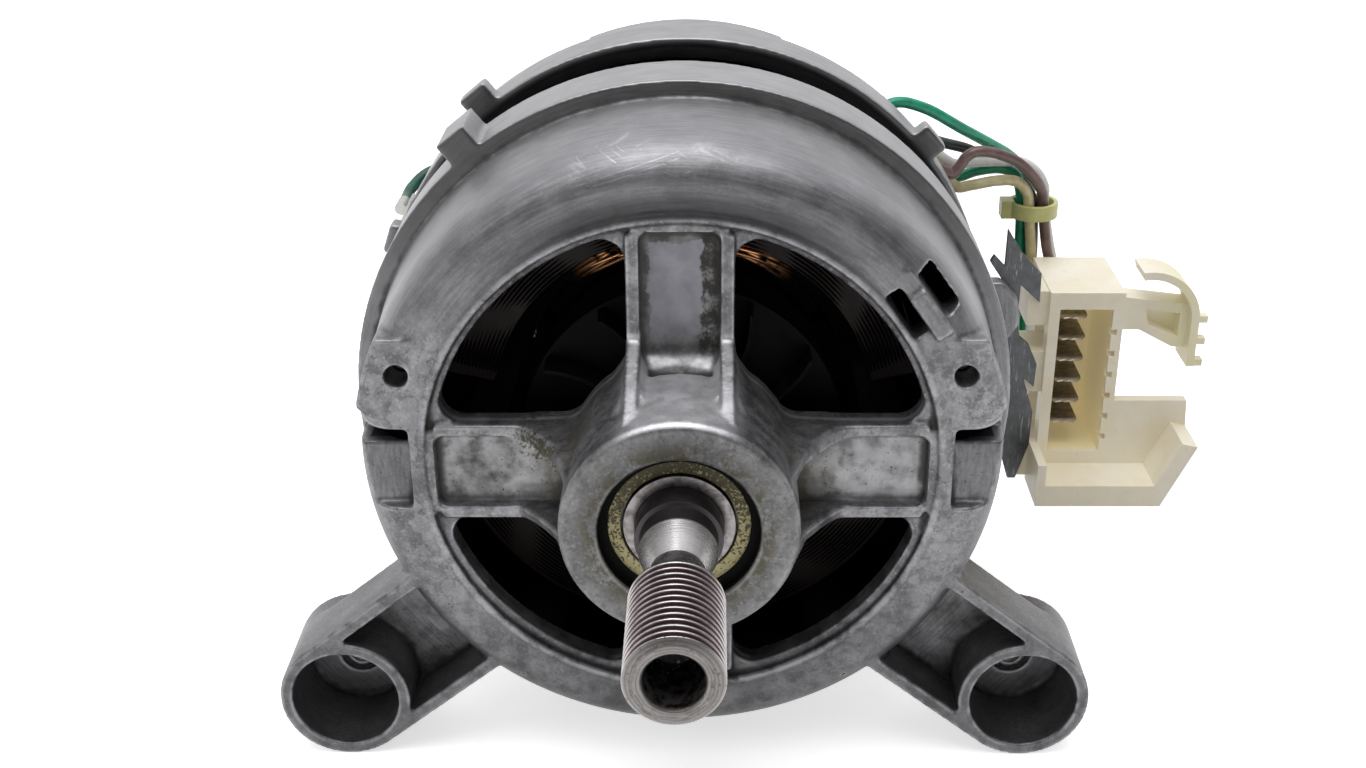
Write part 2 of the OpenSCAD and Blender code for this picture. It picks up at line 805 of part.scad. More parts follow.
module brush_opening() {
  gap = 2 * holder_gap;
  translate([pad_x, brush_y - pad_half_y - holder_gap, -pad_half_z - holder_gap])
    cube([shield_r - pad_x, 2 * pad_half_y + gap, 2 * pad_half_z + gap]);
  translate([holder_x, brush_y - holder_w / 2 - holder_gap, -holder_t / 2 - holder_gap])
    cube([pad_x - holder_x + 1, holder_w + gap, holder_t + gap]);
  for (s = [-1, 1]) translate([pad_x - brush_screw_len, brush_y, s * brush_screw_z])
    rotate([0, 90, 0]) cylinder(r = brush_screw_r + seat_fit, h = brush_screw_len + 1, $fn = coarse);
}

// Lump on the rear ring that carries the clip of the connector
module clip_boss() {
  along(rear_y, clip_y) polygon([
    [ear_root, boss_z + boss_half], [boss_x - 4.3, boss_z + boss_half], [boss_x - 0.9, boss_z + 3],
    [boss_x, boss_z - 2.7], [boss_x - 2, boss_z - boss_half + 0.4], [ear_root, boss_z - boss_half]
  ]);
}

// Opening in the bell of the rear shield at angle a above the right side
module bell_opening(a, w, y, length) {
  rotate([0, -a, 0]) translate([rear_face_r, y, -w / 2]) cube([shield_r - rear_face_r, length, w]);
}

// Low tab behind the top of the ring, rounded off to both sides
module top_tab() {
  along(rear_ring_end - 1, rear_ring_end + ear_len) intersection() {
    translate([0, tab_rise]) circle(r = shield_r - tag_seat - tab_rise, $fn = fine);
    translate([-tab_half, rear_face_r]) square([2 * tab_half, shield_r - rear_face_r]);
  }
}

module rear_shield() {
  color(aluminium) difference() {
    union() {
      difference() {
        union() {
          rear_outside();
          both_sides() brush_pad();
          ear(129, ear_w, shield_r + 4.3, rear_y, rear_y + ear_len);
          ear(40.5, ear_w, shield_r + 3.4, rear_y, rear_y + ear_len);
          ear(160.5, ear_w, shield_r + 2.4, rear_y, rear_y + ear_len);
          ear(tag_angle, ear_w, shield_r + tag_seat, rear_y, rear_ring_end);
          top_tab();
          clip_boss();
        }
        rear_cavity();
      }
      for (p = clamp_places) rod(p[0], p[1], clamp_boss_r, stack_end, clamp_well_end);
    }
    both_sides() brush_opening();
    for (p = clamp_places) {
      rod(p[0], p[1], clamp_hole_r, stack_end - 1, clamp_seat + 1);
      rod(p[0], p[1], clamp_well_r, clamp_seat, rear_end);
    }
    washer(0, rear_od / 2 + seat_fit, rear_inside - 1, rear_bearing_y + rear_w);
    washer(0, tail_hole_r, rear_inside, rear_hub_end + 1);
    for (a = [0:90:270]) along(rear_inside - 1, rear_end + 1)
      sector(rear_window_r0, rear_window_r1, a + rear_spoke_angle, a + 90 - rear_spoke_angle);
    for (a = [75, 105, 252, 270, 288]) bell_opening(a, vent_w, vent_y, vent_len);
    for (a = [40, 140]) bell_opening(a, cable_w, cable_y, cable_len);
  }
}

module stator_core() {
  gap_angle = 10;
  slot_angle = 90 - pole_angle;
  color([0.2, 0.18, 0.18]) along(stack_y, stack_end) difference() {
    circle(r = stator_r, $fn = fine);
    circle(r = stator_bore, $fn = fine);
    for (a = [0, 180]) rotate(a) {
      sector(slot_r0, slot_r1, -slot_angle, slot_angle);
      sector(stator_bore - 1, slot_r0 + 1, -gap_angle, gap_angle);
    }
    for (p = clamp_places) translate(p) circle(r = clamp_hole_r, $fn = coarse);
  }
}

// One field coil: two sides in the slots and a head at each end, drawn for the upper pole
module field_coil() {
  a0 = 12;
  a1 = 90 - pole_angle - 1.4;
  color(copper) {
    along(stack_y - 1, stack_end + 1) for (a = [a0, 180 - a1]) sector(coil_r0, coil_r1, a, a + a1 - a0);
    for (y = [stack_y - coil_head, stack_end + coil_gap])
      along(y, y + coil_head - coil_gap) sector(coil_r0, coil_r1, a0, 180 - a0);
  }
}

module field_coil_top() {
  field_coil();
}

module field_coil_bottom() {
  rotate([0, 180, 0]) field_coil();
}

module shaft() {
  nose = -pulley_half - pulley_chamfer;
  nose_drop = 1.35;
  groove_half = (groove_pitch - groove_crest) / 2;
  color(steel) turned() polygon(concat(
    [[0, nose + end_bore_depth + end_bore_r / 3], [end_bore_r, nose + end_bore_depth], [end_bore_r, nose],
     [pulley_r - nose_drop, nose], [pulley_r, -pulley_half]],
    [for (i = [0:groove_count - 1], p = [[0, -groove_half], [groove_depth, -groove_root / 2],
        [groove_depth, groove_root / 2], [0, groove_half]])
      [pulley_r - p[0], -pulley_half + (i + 0.5) * groove_pitch + p[1]]],
    [[pulley_r, pulley_half], [pulley_r, neck_y], [neck_r, neck_y], [neck_r, cone_y], [collar_r, collar_y],
     [collar_r, shaft_y], [shaft_r, shaft_y], [shaft_r, rear_bearing_y], [rear_bore / 2, rear_bearing_y],
     [rear_bore / 2, rear_bearing_y + rear_w + 0.5], [tail_r, rear_bearing_y + rear_w + 0.5],
     [tail_r, tail_end], [0, tail_end]]
  ));
}

module rotor_slot_places() {
  for (i = [0:rotor_slots - 1]) rotate(360 * i / rotor_slots) children();
}

module rotor_core() {
  slot_mouth = 2.4;
  color([0.3, 0.29, 0.29]) along(stack_y, stack_end) difference() {
    circle(r = rotor_r, $fn = fine);
    circle(r = shaft_r + seat_fit, $fn = fine);
    rotor_slot_places() {
      translate([slot_centre, 0]) circle(r = slot_r + 0.2, $fn = coarse);
      translate([slot_centre, -slot_mouth / 2]) square([rotor_r, slot_mouth]);
    }
  }
}

// Winding: round bars in the slots, and a domed head at each end
module winding_head_profile(y, s) {
  r0 = shaft_r + 1.5;
  r1 = slot_centre + slot_r + 0.3;
  polygon([
    [r0, y], [r1, y], [r1, y + s * winding_head * 0.5], [r1 - 4, y + s * winding_head],
    [r0 + 3, y + s * winding_head], [r0, y + s * winding_head * 0.6]
  ]);
}

module armature_winding() {
  color([0.35, 0.17, 0.1]) {
    along(stack_y - 1, stack_end + 1) rotor_slot_places()
      translate([slot_centre, 0]) circle(r = slot_r, $fn = coarse);
    turned() winding_head_profile(stack_y - 0.3, -1);
    turned() winding_head_profile(stack_end + 0.3, 1);
  }
}

module commutator_bars() {
  slot = 0.6;
  riser = 1.6;
  color(copper) difference() {
    turned() polygon([
      [comm_hub_r, comm_y], [comm_r + riser, comm_y], [comm_r + riser, comm_y + 3], [comm_r, comm_y + 3],
      [comm_r, comm_y + comm_len], [comm_hub_r, comm_y + comm_len]
    ]);
    for (i = [0:comm_bars - 1]) rotate([0, 360 * i / comm_bars, 0])
      translate([0, comm_y - 1, -slot / 2]) cube([comm_r + 2 * riser, comm_len + 2, slot]);
  }
}

module commutator_hub() {
  color([0.25, 0.14, 0.1])
    washer(shaft_r + seat_fit, comm_hub_r - seat_fit, comm_y - 1, comm_y + comm_len + 1);
}

module cooling_fan() {
  hub = shaft_r + 4;
  disc = 1.8;
  blade = 1.2;
  color([0.07, 0.07, 0.08]) {
    washer(shaft_r + seat_fit, hub, fan_y, fan_y + fan_len);
    washer(hub - 0.5, fan_r, fan_y + fan_len - disc, fan_y + fan_len);
    for (i = [0:fan_blades - 1]) rotate([0, 360 * i / fan_blades, 0])
      translate([hub - 0.5, fan_y, -blade / 2]) cube([fan_r - hub - 0.5, fan_len - disc / 2, blade]);
  }
}

// Ball bearings: sizes that follow from the outer diameter and the bore
function ball_radius(od, bore) = 0.149 * (od - bore);
function ball_circle(od, bore) = (od + bore) / 4;
function outer_shoulder(od, bore) = ball_circle(od, bore) + 0.7 * ball_radius(od, bore);
function inner_shoulder(od, bore) = ball_circle(od, bore) - 0.7 * ball_radius(od, bore);
function inner_face(bore) = bore / 2 + 2.1;

module outer_ring(od, bore, w, y) {
  color(steel) turned() difference() {
    translate([outer_shoulder(od, bore), y]) square([od / 2 - outer_shoulder(od, bore), w]);
    translate([ball_circle(od, bore), y + w / 2]) circle(r = ball_radius(od, bore) + ball_fit, $fn = fine);
  }
}

module inner_ring(od, bore, w, y) {
  step = seal_t + 0.7;
  r = bore / 2 + seat_fit;
  color(steel) turned() difference() {
    union() {
      translate([r, y]) square([inner_face(bore) - r, w]);
      translate([r, y + step]) square([inner_shoulder(od, bore) - r, w - 2 * step]);
    }
    translate([ball_circle(od, bore), y + w / 2]) circle(r = ball_radius(od, bore) + ball_fit, $fn = fine);
  }
}

module ball_places(od, bore, w, y, n) {
  for (i = [0:n - 1]) rotate([0, 360 * i / n, 0])
    translate([ball_circle(od, bore), y + w / 2, 0]) children();
}

module balls(od, bore, w, y, n) {
  color(steel) ball_places(od, bore, w, y, n) sphere(r = ball_radius(od, bore), $fn = fine);
}

module cage(od, bore, w, y, n) {
  half_w = ball_radius(od, bore) + 0.6;
  half_t = 0.9;
  pitch = ball_circle(od, bore);
  color([0.55, 0.5, 0.35]) difference() {
    washer(pitch - half_t, pitch + half_t, y + w / 2 - half_w, y + w / 2 + half_w);
    ball_places(od, bore, w, y, n) rotate([0, 90, 0])
      cylinder(r = ball_radius(od, bore) + 0.12, h = 4 * half_t, center = true, $fn = coarse);
  }
}

// A seal at each end; r is the inner radius of the one at the front
module seals(od, bore, w, y, r) {
  color([0.08, 0.08, 0.08]) {
    washer(r, outer_shoulder(od, bore) - seat_fit, y + seal_sink, y + seal_sink + seal_t);
    washer(inner_face(bore) + seal_gap, outer_shoulder(od, bore) - seat_fit,
           y + w - seal_sink - seal_t, y + w - seal_sink);
  }
}

module front_bearing_outer_ring() {
  outer_ring(front_od, front_bore, front_w, front_bearing_y);
}

module front_bearing_inner_ring() {
  inner_ring(front_od, front_bore, front_w, front_bearing_y);
}

module front_bearing_balls() {
  balls(front_od, front_bore, front_w, front_bearing_y, front_balls_n);
}

module front_bearing_cage() {
  cage(front_od, front_bore, front_w, front_bearing_y, front_balls_n);
}

module front_bearing_seals() {
  seals(front_od, front_bore, front_w, front_bearing_y, dust_r + seat_fit);
}

module front_bearing_dust_ring() {
  y = front_bearing_y + seal_sink;
  color([0.66, 0.6, 0.35]) washer(inner_face(front_bore) + seal_gap, dust_r, y, y + seal_t);
}

module rear_bearing_outer_ring() {
  outer_ring(rear_od, rear_bore, rear_w, rear_bearing_y);
}

module rear_bearing_inner_ring() {
  inner_ring(rear_od, rear_bore, rear_w, rear_bearing_y);
}

module rear_bearing_balls() {
  balls(rear_od, rear_bore, rear_w, rear_bearing_y, rear_balls_n);
}

module rear_bearing_cage() {
  cage(rear_od, rear_bore, rear_w, rear_bearing_y, rear_balls_n);
}

module rear_bearing_seals() {
  seals(rear_od, rear_bore, rear_w, rear_bearing_y, inner_face(rear_bore) + seal_gap);
}

module tacho_magnet() {
  color([0.2, 0.2, 0.22]) washer(tail_r + seat_fit, tacho_coil_r0 - tacho_gap,
    rear_hub_end + magnet_set, tail_end - tacho_end);
}

module tacho_coil() {
  color(copper) washer(tacho_coil_r0, tacho_coil_r1, rear_hub_end + seat_fit, tail_end - tacho_end);
}

module tacho_cap() {
  color([0.12, 0.12, 0.13]) difference() {
    washer(0, rear_hub_r, rear_hub_end, rear_hub_end + tacho_len);
    washer(0, tacho_coil_r1 + seat_fit, rear_hub_end - 1, rear_hub_end + tacho_len - tacho_wall);
  }
}

module clamp_screws() {
  slot_w = 1;
  color(steel) for (p = clamp_places) difference() {
    union() {
      rod(p[0], p[1], clamp_r, clamp_tip, clamp_seat + eps);
      rod(p[0], p[1], clamp_head_r, clamp_seat, clamp_seat + clamp_head_h);
    }
    for (a = [0, 90]) translate([p[0], clamp_seat + clamp_head_h, p[1]]) rotate([0, a, 0])
      cube([clamp_head_r, 2.4, slot_w], center = true);
  }
}

module on_side(s) {
  mirror([s < 0 ? 1 : 0, 0, 0]) children();
}

// A bar along X with a width across the shaft (t, in z) and along it (w, in y)
module bar(x0, x1, w, t) {
  translate([x0, brush_y - w / 2, -t / 2]) cube([x1 - x0, w, t]);
}

module brush_holder(s) {
  color([0.15, 0.14, 0.14]) on_side(s) difference() {
    union() {
      bar(holder_x, pad_x + eps, holder_w, holder_t);
      bar(pad_x, pad_x + holder_flange, 2 * pad_half_y, 2 * pad_half_z);
    }
    bar(holder_x - 1, spring_seat, guide_out_w + 2 * seat_fit, guide_out_t + 2 * seat_fit);
    for (v = [-1, 1]) translate([pad_x - 1, brush_y, v * brush_screw_z]) rotate([0, 90, 0])
      cylinder(r = brush_screw_r + seat_fit, h = holder_flange + 2, $fn = coarse);
  }
}

module brush_guide(s) {
  color([0.75, 0.6, 0.3]) on_side(s) difference() {
    bar(guide_x, spring_seat, guide_out_w, guide_out_t);
    bar(guide_x - 1, spring_seat + 1, guide_in_w, guide_in_t);
  }
}

module carbon_brush(s) {
  color([0.13, 0.13, 0.14]) on_side(s) difference() {
    bar(brush_x - 2, brush_x + brush_len, brush_w, brush_t);
    washer(0, brush_x, brush_y - brush_w, brush_y + brush_w);
  }
}

// Closed tube along a route: each ring carries its direction on from the ring before
function unit(v) = v / norm(v);
function heading(p, i) = unit(p[min(i + 1, len(p) - 1)] - p[max(i - 1, 0)]);
function carried(u, t) = unit(u - (u * t) * t);
function ring_axes(p, u, i = 0) = i == len(p) ? [] :
  let (t = heading(p, i), w = carried(u, t)) concat([[w, cross(t, w)]], ring_axes(p, w, i + 1));

module tube(route, r, u, n) {
  last = (len(route) - 1) * n;
  axes = ring_axes(route, u);
  points = [
    for (i = [0:len(route) - 1], k = [0:n - 1])
      route[i] + r * (cos(360 * k / n) * axes[i][0] + sin(360 * k / n) * axes[i][1])
  ];
  walls = [
    for (i = [0:len(route) - 2], k = [0:n - 1])
      [i * n + k, i * n + n + k, i * n + n + (k + 1) % n, i * n + (k + 1) % n]
  ];
  polyhedron(points, concat([[for (k = [0:n - 1]) k]], walls, [[for (k = [n - 1:-1:0]) last + k]]));
}

module brush_spring(s) {
  steps = 12;
  x0 = spring_x + spring_wire;
  x1 = spring_seat - spring_wire - brush_fit;
  route = [
    for (i = [0:spring_turns * steps])
      [x0 + (x1 - x0) * i / (spring_turns * steps),
       brush_y + spring_r * cos(360 * i / steps), spring_r * sin(360 * i / steps)]
  ];
  color(steel) on_side(s) tube(route, spring_wire, [1, 0, 0], spring_sides);
}

module brush_holder_left() {
  brush_holder(-1);
}

module brush_holder_right() {
  brush_holder(1);
}

module brush_guide_left() {
  brush_guide(-1);
}

module brush_guide_right() {
  brush_guide(1);
}

module carbon_brush_left() {
  carbon_brush(-1);
}

module carbon_brush_right() {
  carbon_brush(1);
}

module brush_spring_left() {
  brush_spring(-1);
}

module brush_spring_right() {
  brush_spring(1);
}

module brush_screws() {
  head_r = 2.7;
  head_h = 1.8;
  slot_w = 0.8;
  top = pad_x + holder_flange;
  color(steel) for (s = [-1, 1], v = [-1, 1]) on_side(s) translate([0, brush_y, v * brush_screw_z])
    difference() {
      rotate([0, 90, 0]) {
        translate([0, 0, top - brush_screw_len])
          cylinder(r = brush_screw_r, h = brush_screw_len + eps, $fn = coarse);
        translate([0, 0, top]) cylinder(r = head_r, h = head_h, $fn = coarse);
      }
      translate([top + head_h, 0, 0]) cube([2 * slot_w, 3 * head_r, slot_w], center = true);
    }
}

// Side blocks on the left wall of the connector, as [bottom, top]
block_spans = [
  for (i = [0:len(block_tops) - 1]) let (top = housing_top - block_drop - block_tops[i])
    [top - block_heights[i], top]
];

module housing_blocks() {
  front = clip_y + clip_t;
  for (b = block_spans) translate([block_x, front, b[0]])
    cube([block_out + 1, housing_end - block_back - front, b[1] - b[0]]);
}

// Openings in the left wall, between the blocks
module housing_side_openings() {
  for (i = [0, 1]) let (z0 = block_spans[i + 1][1], z1 = block_spans[i][0])
    translate([housing_x - 1, housing_y + clip_set, z0]) cube([housing_wall + 1.5, side_opening, z1 - z0]);
}

module housing_trough() {
  back_t = 2.5;
  end_t = 1.8;
  wall_t = 3.4;
  lip = 0.8;
  x0 = housing_x - 1.6;
  right = trough_x + trough_run;
  high = trough_z + trough_rise;
  back_high = high + arm_t;
  back = housing_y + back_t;
  floor_top = trough_z + trough_t + eps;
  along(trough_y, back) polygon([
    [x0, trough_z], [trough_x, trough_z], [right, high], [right - wall_t, high + lip],
    [trough_x - wall_t / 2, floor_top], [x0, floor_top]
  ]);
  along(housing_y, back) polygon([
    [housing_x + housing_w - 1, trough_z], [trough_x, trough_z], [right, high],
    [right - lip / 2, back_high], [housing_x + housing_w - 1, back_high]
  ]);
  along(trough_y, back) translate([x0, trough_z]) square([end_t, 2 * trough_t]);
}

module housing_arm() {
  along(housing_y, housing_y + arm_t) polygon([
    [housing_x + housing_w / 2, housing_top], [arm_end, housing_top - arm_slope],
    [arm_end, housing_top - arm_low], [arm_end - arm_tip, housing_top - arm_low],
    [housing_x + arm_bend, housing_top - arm_h], [housing_x + housing_w - 1, housing_top - arm_h]
  ]);
  // Curved hook on the end of the arm, with three small teeth
  along(housing_y - hook_front, housing_y + arm_t) translate([hook_x, hook_z]) {
    sector(hook_r - hook_t, hook_r, -2, hook_end);
    translate([hook_r - hook_t, -hook_tail]) square([hook_t, hook_tail + 0.1]);
  }
  along(housing_y - hook_front, housing_y - 1) for (i = [0:2])
    translate([hook_x + hook_r - 0.5, hook_z - 0.4 - hook_tooth_pitch * i]) square(hook_tooth);
}

module housing_arm_recess() {
  end = arm_end - 2.4;
  along(housing_y - 1, housing_y + arm_recess_t) polygon([
    [housing_x + arm_bend + 1, housing_top - 3.6], [end, housing_top - 4.6],
    [end, housing_top - arm_low + 2.4], [housing_x + arm_bend + 1.9, housing_top - arm_h + 1.2]
  ]);
}

module connector_housing() {
  color(cream) difference() {
    union() {
      translate([housing_x, housing_y, housing_bottom])
        cube([housing_w, housing_depth, housing_top - housing_bottom]);
      housing_blocks();
      housing_trough();
      housing_arm();
    }
    translate([socket_x, housing_y - 1, socket_top - socket_h])
      cube([socket_w, socket_back - housing_y + 1, socket_h]);
    housing_side_openings();
    housing_arm_recess();
    for (i = [0:blade_count - 1])
      translate([socket_x + socket_w - 1, housing_y - 1, blade_top - i * blade_pitch - slit_drop])
        cube([slit_depth + 1, 3, slit_h]);
  }
}

module connector_blades() {
  color([0.5, 0.43, 0.38]) for (i = [0:blade_count - 1])
    translate([blade_x, blade_y, blade_top - i * blade_pitch - blade_t])
      cube([blade_w, socket_back - blade_y, blade_t]);
}

// Sheet with prongs, cut out flat; its points are counted from a place on the boss that carries it
module connector_clip() {
  color([0.36, 0.37, 0.4]) along(clip_y, clip_y + clip_t) translate(clip_origin) polygon([
    [0.2, 17.1], [3.7, 11.6], [8.1, 7], [8.2, 0.4], [3.9, 4.4], [3.7, -2.6], [4.5, -7.4], [6.7, -9.4],
    [8.8, -14.1], [8.6, -19.5], [6.2, -17.4], [8.9, -25.6], [8.7, -33.6], [6.3, -42.1], [4.5, -42.1],
    [2.5, -35.6], [2.9, -19.6], [-0.1, -9.6], [-0.1, 5.4], [-3.1, 9.8], [-2.3, 11.3], [0.1, 8.8]
  ]);
}

// Puts a route at radius r of the rear shield's front face, at angle a above the right side
module from_ring(r, a) {
  translate([r * cos(a), rear_y, r * sin(a)]) children();
}

module cable_tie() {
  color([0.82, 0.85, 0.6]) from_ring(shield_r, 0) translate(tie_centre) {
    difference() {
      cylinder(r = tie_r + tie_t, h = tie_h, center = true, $fn = coarse);
      cylinder(r = tie_r, h = tie_h + 1, center = true, $fn = coarse);
    }
    translate([-tie_r - tie_head[0] / 2 - eps, 0, 0]) cube(tie_head, center = true);
  }
}

module lead(route, c) {
  color(c) from_ring(shield_r, 0) tube(route, lead_d / 2, [0.1, 0.9, 0.4], lead_sides);
}

module green_lead_long() {
  lead(green_long_route, [0, 0.55, 0.38]);
}

module brown_lead() {
  lead(brown_route, [0.42, 0.3, 0.3]);
}

module green_lead_short() {
  lead(green_short_route, [0, 0.55, 0.38]);
}

module yellow_lead() {
  lead(yellow_route, [0.86, 0.8, 0.52]);
}

module white_lead() {
  lead(white_route, [0.9, 0.9, 0.88]);
}

module black_lead() {
  lead(black_route, [0.08, 0.08, 0.08]);
}

// Crimped tag on a flat of the rear ring, with the end of the earth lead in its barrel
module earth_tag() {
  barrel_r = 1.3;
  color(steel) {
    along(rear_y + 1, rear_y + 6) rotate(tag_angle) {
      translate([tag_r, 0]) circle(r = barrel_r, $fn = coarse);
      translate([shield_r + tag_seat, -2.5]) square([0.6, 5]);
    }
  }
}

module earth_lead() {
  color([0, 0.55, 0.38]) from_ring(tag_r, tag_angle)
    tube(earth_route, lead_d / 2, [1, 0.1, 0.3], lead_sides);
}

front_shield();
rear_shield();
stator_core();
field_coil_top();
field_coil_bottom();
shaft();
rotor_core();
armature_winding();
commutator_bars();
commutator_hub();
cooling_fan();
front_bearing_outer_ring();
front_bearing_inner_ring();
front_bearing_balls();
front_bearing_cage();
front_bearing_seals();
front_bearing_dust_ring();
rear_bearing_outer_ring();
rear_bearing_inner_ring();
rear_bearing_balls();
rear_bearing_cage();
rear_bearing_seals();
tacho_magnet();
tacho_coil();
tacho_cap();
clamp_screws();
brush_holder_left();
brush_holder_right();
brush_guide_left();
brush_guide_right();
carbon_brush_left();
carbon_brush_right();
brush_spring_left();
brush_spring_right();
brush_screws();
connector_housing();
connector_blades();
connector_clip();
cable_tie();
green_lead_long();
brown_lead();
green_lead_short();
yellow_lead();
white_lead();
black_lead();
earth_tag();
earth_lead();
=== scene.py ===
"""Washing machine motor: its looks, on the frame packed from the part's source.

X is to the right and Z up as seen from the drive end, and Y runs back along the shaft.
"""

import math

import bmesh
import bpy
import numpy as np
from mathutils import Matrix, Vector


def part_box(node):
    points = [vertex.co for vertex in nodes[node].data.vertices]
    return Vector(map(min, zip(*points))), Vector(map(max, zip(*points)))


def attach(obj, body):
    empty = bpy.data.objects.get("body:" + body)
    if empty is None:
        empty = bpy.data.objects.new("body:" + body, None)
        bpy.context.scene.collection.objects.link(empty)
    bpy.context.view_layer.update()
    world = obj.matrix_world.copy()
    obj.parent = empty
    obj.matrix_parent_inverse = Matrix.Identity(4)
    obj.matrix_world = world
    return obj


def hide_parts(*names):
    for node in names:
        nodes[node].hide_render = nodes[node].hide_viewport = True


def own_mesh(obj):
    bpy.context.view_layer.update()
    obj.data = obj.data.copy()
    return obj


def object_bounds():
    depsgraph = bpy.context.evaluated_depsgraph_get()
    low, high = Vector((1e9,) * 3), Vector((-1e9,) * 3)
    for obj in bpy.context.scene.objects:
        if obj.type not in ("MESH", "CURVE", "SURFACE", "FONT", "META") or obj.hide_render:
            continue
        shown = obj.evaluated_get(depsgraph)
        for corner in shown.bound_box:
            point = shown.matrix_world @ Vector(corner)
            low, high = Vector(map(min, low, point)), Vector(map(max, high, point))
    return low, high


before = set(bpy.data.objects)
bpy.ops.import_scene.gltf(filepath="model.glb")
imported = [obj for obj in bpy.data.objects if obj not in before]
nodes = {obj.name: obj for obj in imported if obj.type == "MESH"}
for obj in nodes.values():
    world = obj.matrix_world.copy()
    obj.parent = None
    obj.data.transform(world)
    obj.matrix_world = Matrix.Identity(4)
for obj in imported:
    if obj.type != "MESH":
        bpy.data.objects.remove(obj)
cad_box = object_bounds()
scene = bpy.context.scene
MM = 0.001


# Camera. It stands in front of the drive end and looks down on it by about 26 degrees, as the
# photograph was taken. The shift of the lens puts the motor where it lies in the picture.
view_azimuth = math.radians(0.634)
view_elevation = math.radians(25.903)
view_roll = math.radians(-0.266)
forward = Vector((
    -math.sin(view_azimuth) * math.cos(view_elevation),
    math.cos(view_azimuth) * math.cos(view_elevation),
    -math.sin(view_elevation),
))
level = Vector((math.cos(view_azimuth), math.sin(view_azimuth), 0))
right = level * math.cos(view_roll) + level.cross(forward) * math.sin(view_roll)
upward = right.cross(forward)
camera = bpy.data.objects.new("camera", bpy.data.cameras.new("camera"))
camera.data.sensor_width = 36
camera.data.lens = 43.66
camera.data.shift_x = -0.00868
camera.data.shift_y = 0.02502
camera.data.clip_start = 0.01
camera.matrix_world = (
    Matrix.Translation(Vector((5.42, -209.76, 139.26)) * MM)
    @ Matrix((right, upward, -forward)).transposed().to_4x4()
)
scene.collection.objects.link(camera)
scene.camera = camera
scene.view_settings.view_transform = "Standard"


# Floor and light. A plain white floor under the lug cups, one broad soft light overhead and a
# weaker one from the left, in a world that is white low down, overhead and behind the motor,
# and dim in front of it.
class Value:
    """A socket of a node tree; sums and products of it add Math nodes."""

    def __init__(self, graph, socket):
        self.graph = graph
        self.socket = socket

    def math(self, operation, *terms):
        return self.graph.add("ShaderNodeMath", {"operation": operation}, dict(enumerate(terms)))

    def __add__(self, other):
        return self.math("ADD", self, other)

    def __radd__(self, other):
        return self.math("ADD", other, self)

    def __sub__(self, other):
        return self.math("SUBTRACT", self, other)

    def __rsub__(self, other):
        return self.math("SUBTRACT", other, self)

    def __mul__(self, other):
        return self.math("MULTIPLY", self, other)

    def __rmul__(self, other):
        return self.math("MULTIPLY", other, self)

    def __truediv__(self, other):
        return self.math("DIVIDE", self, other)

    def __pow__(self, other):
        return self.math("POWER", self, other)

    def __neg__(self):
        return self.math("MULTIPLY", self, -1.0)

    def __abs__(self):
        return self.math("ABSOLUTE", self)


class Graph:
    """A node tree that is written as sums and calls."""

    def __init__(self, tree):
        self.tree = tree

    def add(self, kind, settings=None, sockets=None, out=0):
        """Adds a node, sets it up, then gives its sockets values or links."""
        node = self.tree.nodes.new(kind)
        for key, value in (settings or {}).items():
            setattr(node, key, value)
        for key, value in (sockets or {}).items():
            if isinstance(value, Value):
                self.tree.links.new(value.socket, node.inputs[key])
            else:
                node.inputs[key].default_value = value
        return Value(self, node.outputs[out])

    def between(self, value, low, high):
        """0 where value is under low, 1 where it is over high, and smooth in between."""
        return self.add(
            "ShaderNodeMapRange",
            {"interpolation_type": "SMOOTHSTEP"},
            {"Value": value, "From Min": low, "From Max": high},
        )

    def mix(self, share, first, second):
        """The first colour where share is 0, the second where it is 1."""
        first, second = ((*c, 1) if isinstance(c, tuple) and len(c) == 3 else c for c in (first, second))
        return self.add("ShaderNodeMix", {"data_type": "RGBA"}, {0: share, 6: first, 7: second}, 2)


floor_z = cad_box[0].z
floor_size = 4.0
floor_mesh = bpy.data.meshes.new("floor")
floor_mesh.from_pydata(
    [(x * floor_size, y * floor_size, floor_z) for x, y in ((-1, -1), (1, -1), (1, 1), (-1, 1))],
    [],
    [(0, 1, 2, 3)],
)
floor = bpy.data.objects.new("floor", floor_mesh)
scene.collection.objects.link(floor)
floor_paint = bpy.data.materials.new("floor_paint")
floor_paint.use_nodes = True
floor_graph = Graph(floor_paint.node_tree)
floor_shader = floor_paint.node_tree.nodes["Principled BSDF"]
floor_shader.inputs["Roughness"].default_value = 0.9
floor_shader.inputs["Specular IOR Level"].default_value = 0.1
floor_shader.inputs["Emission Strength"].default_value = 0.6
rays = floor_graph.add("ShaderNodeLightPath").socket.node.outputs
ray_kinds = ("Is Camera Ray", "Is Glossy Ray", "Is Transmission Ray")
seen, mirrored, through = (Value(floor_graph, rays[kind]) for kind in ray_kinds)
seen = seen.math("MINIMUM", seen + mirrored + through, 1.0)
for socket, unseen, white in (
    ("Base Color", (0.5, 0.5, 0.51), (0.93, 0.93, 0.93)),
    ("Emission Color", (0.0, 0.0, 0.0), (1.0, 1.0, 1.0)),
):
    shade = floor_graph.mix(seen, unseen, white)
    floor_paint.node_tree.links.new(shade.socket, floor_shader.inputs[socket])
floor_mesh.materials.append(floor_paint)

motor_middle = Vector((0, 0.06, 0))


def soft_light(name, place, size, power):
    """A square lamp that faces the motor."""
    lamp = bpy.data.lights.new(name, "AREA")
    lamp.shape = "SQUARE"
    lamp.size = size
    lamp.energy = power
    light = bpy.data.objects.new(name, lamp)
    aim = motor_middle - Vector(place)
    light.rotation_euler = aim.to_track_quat("-Z", "Y").to_euler()
    light.location = place
    scene.collection.objects.link(light)


soft_light("overhead_light", (-0.06, -0.03, 0.95), 0.8, 5.4)
soft_light("left_light", (-0.9, -0.3, 0.6), 0.5, 1.4)

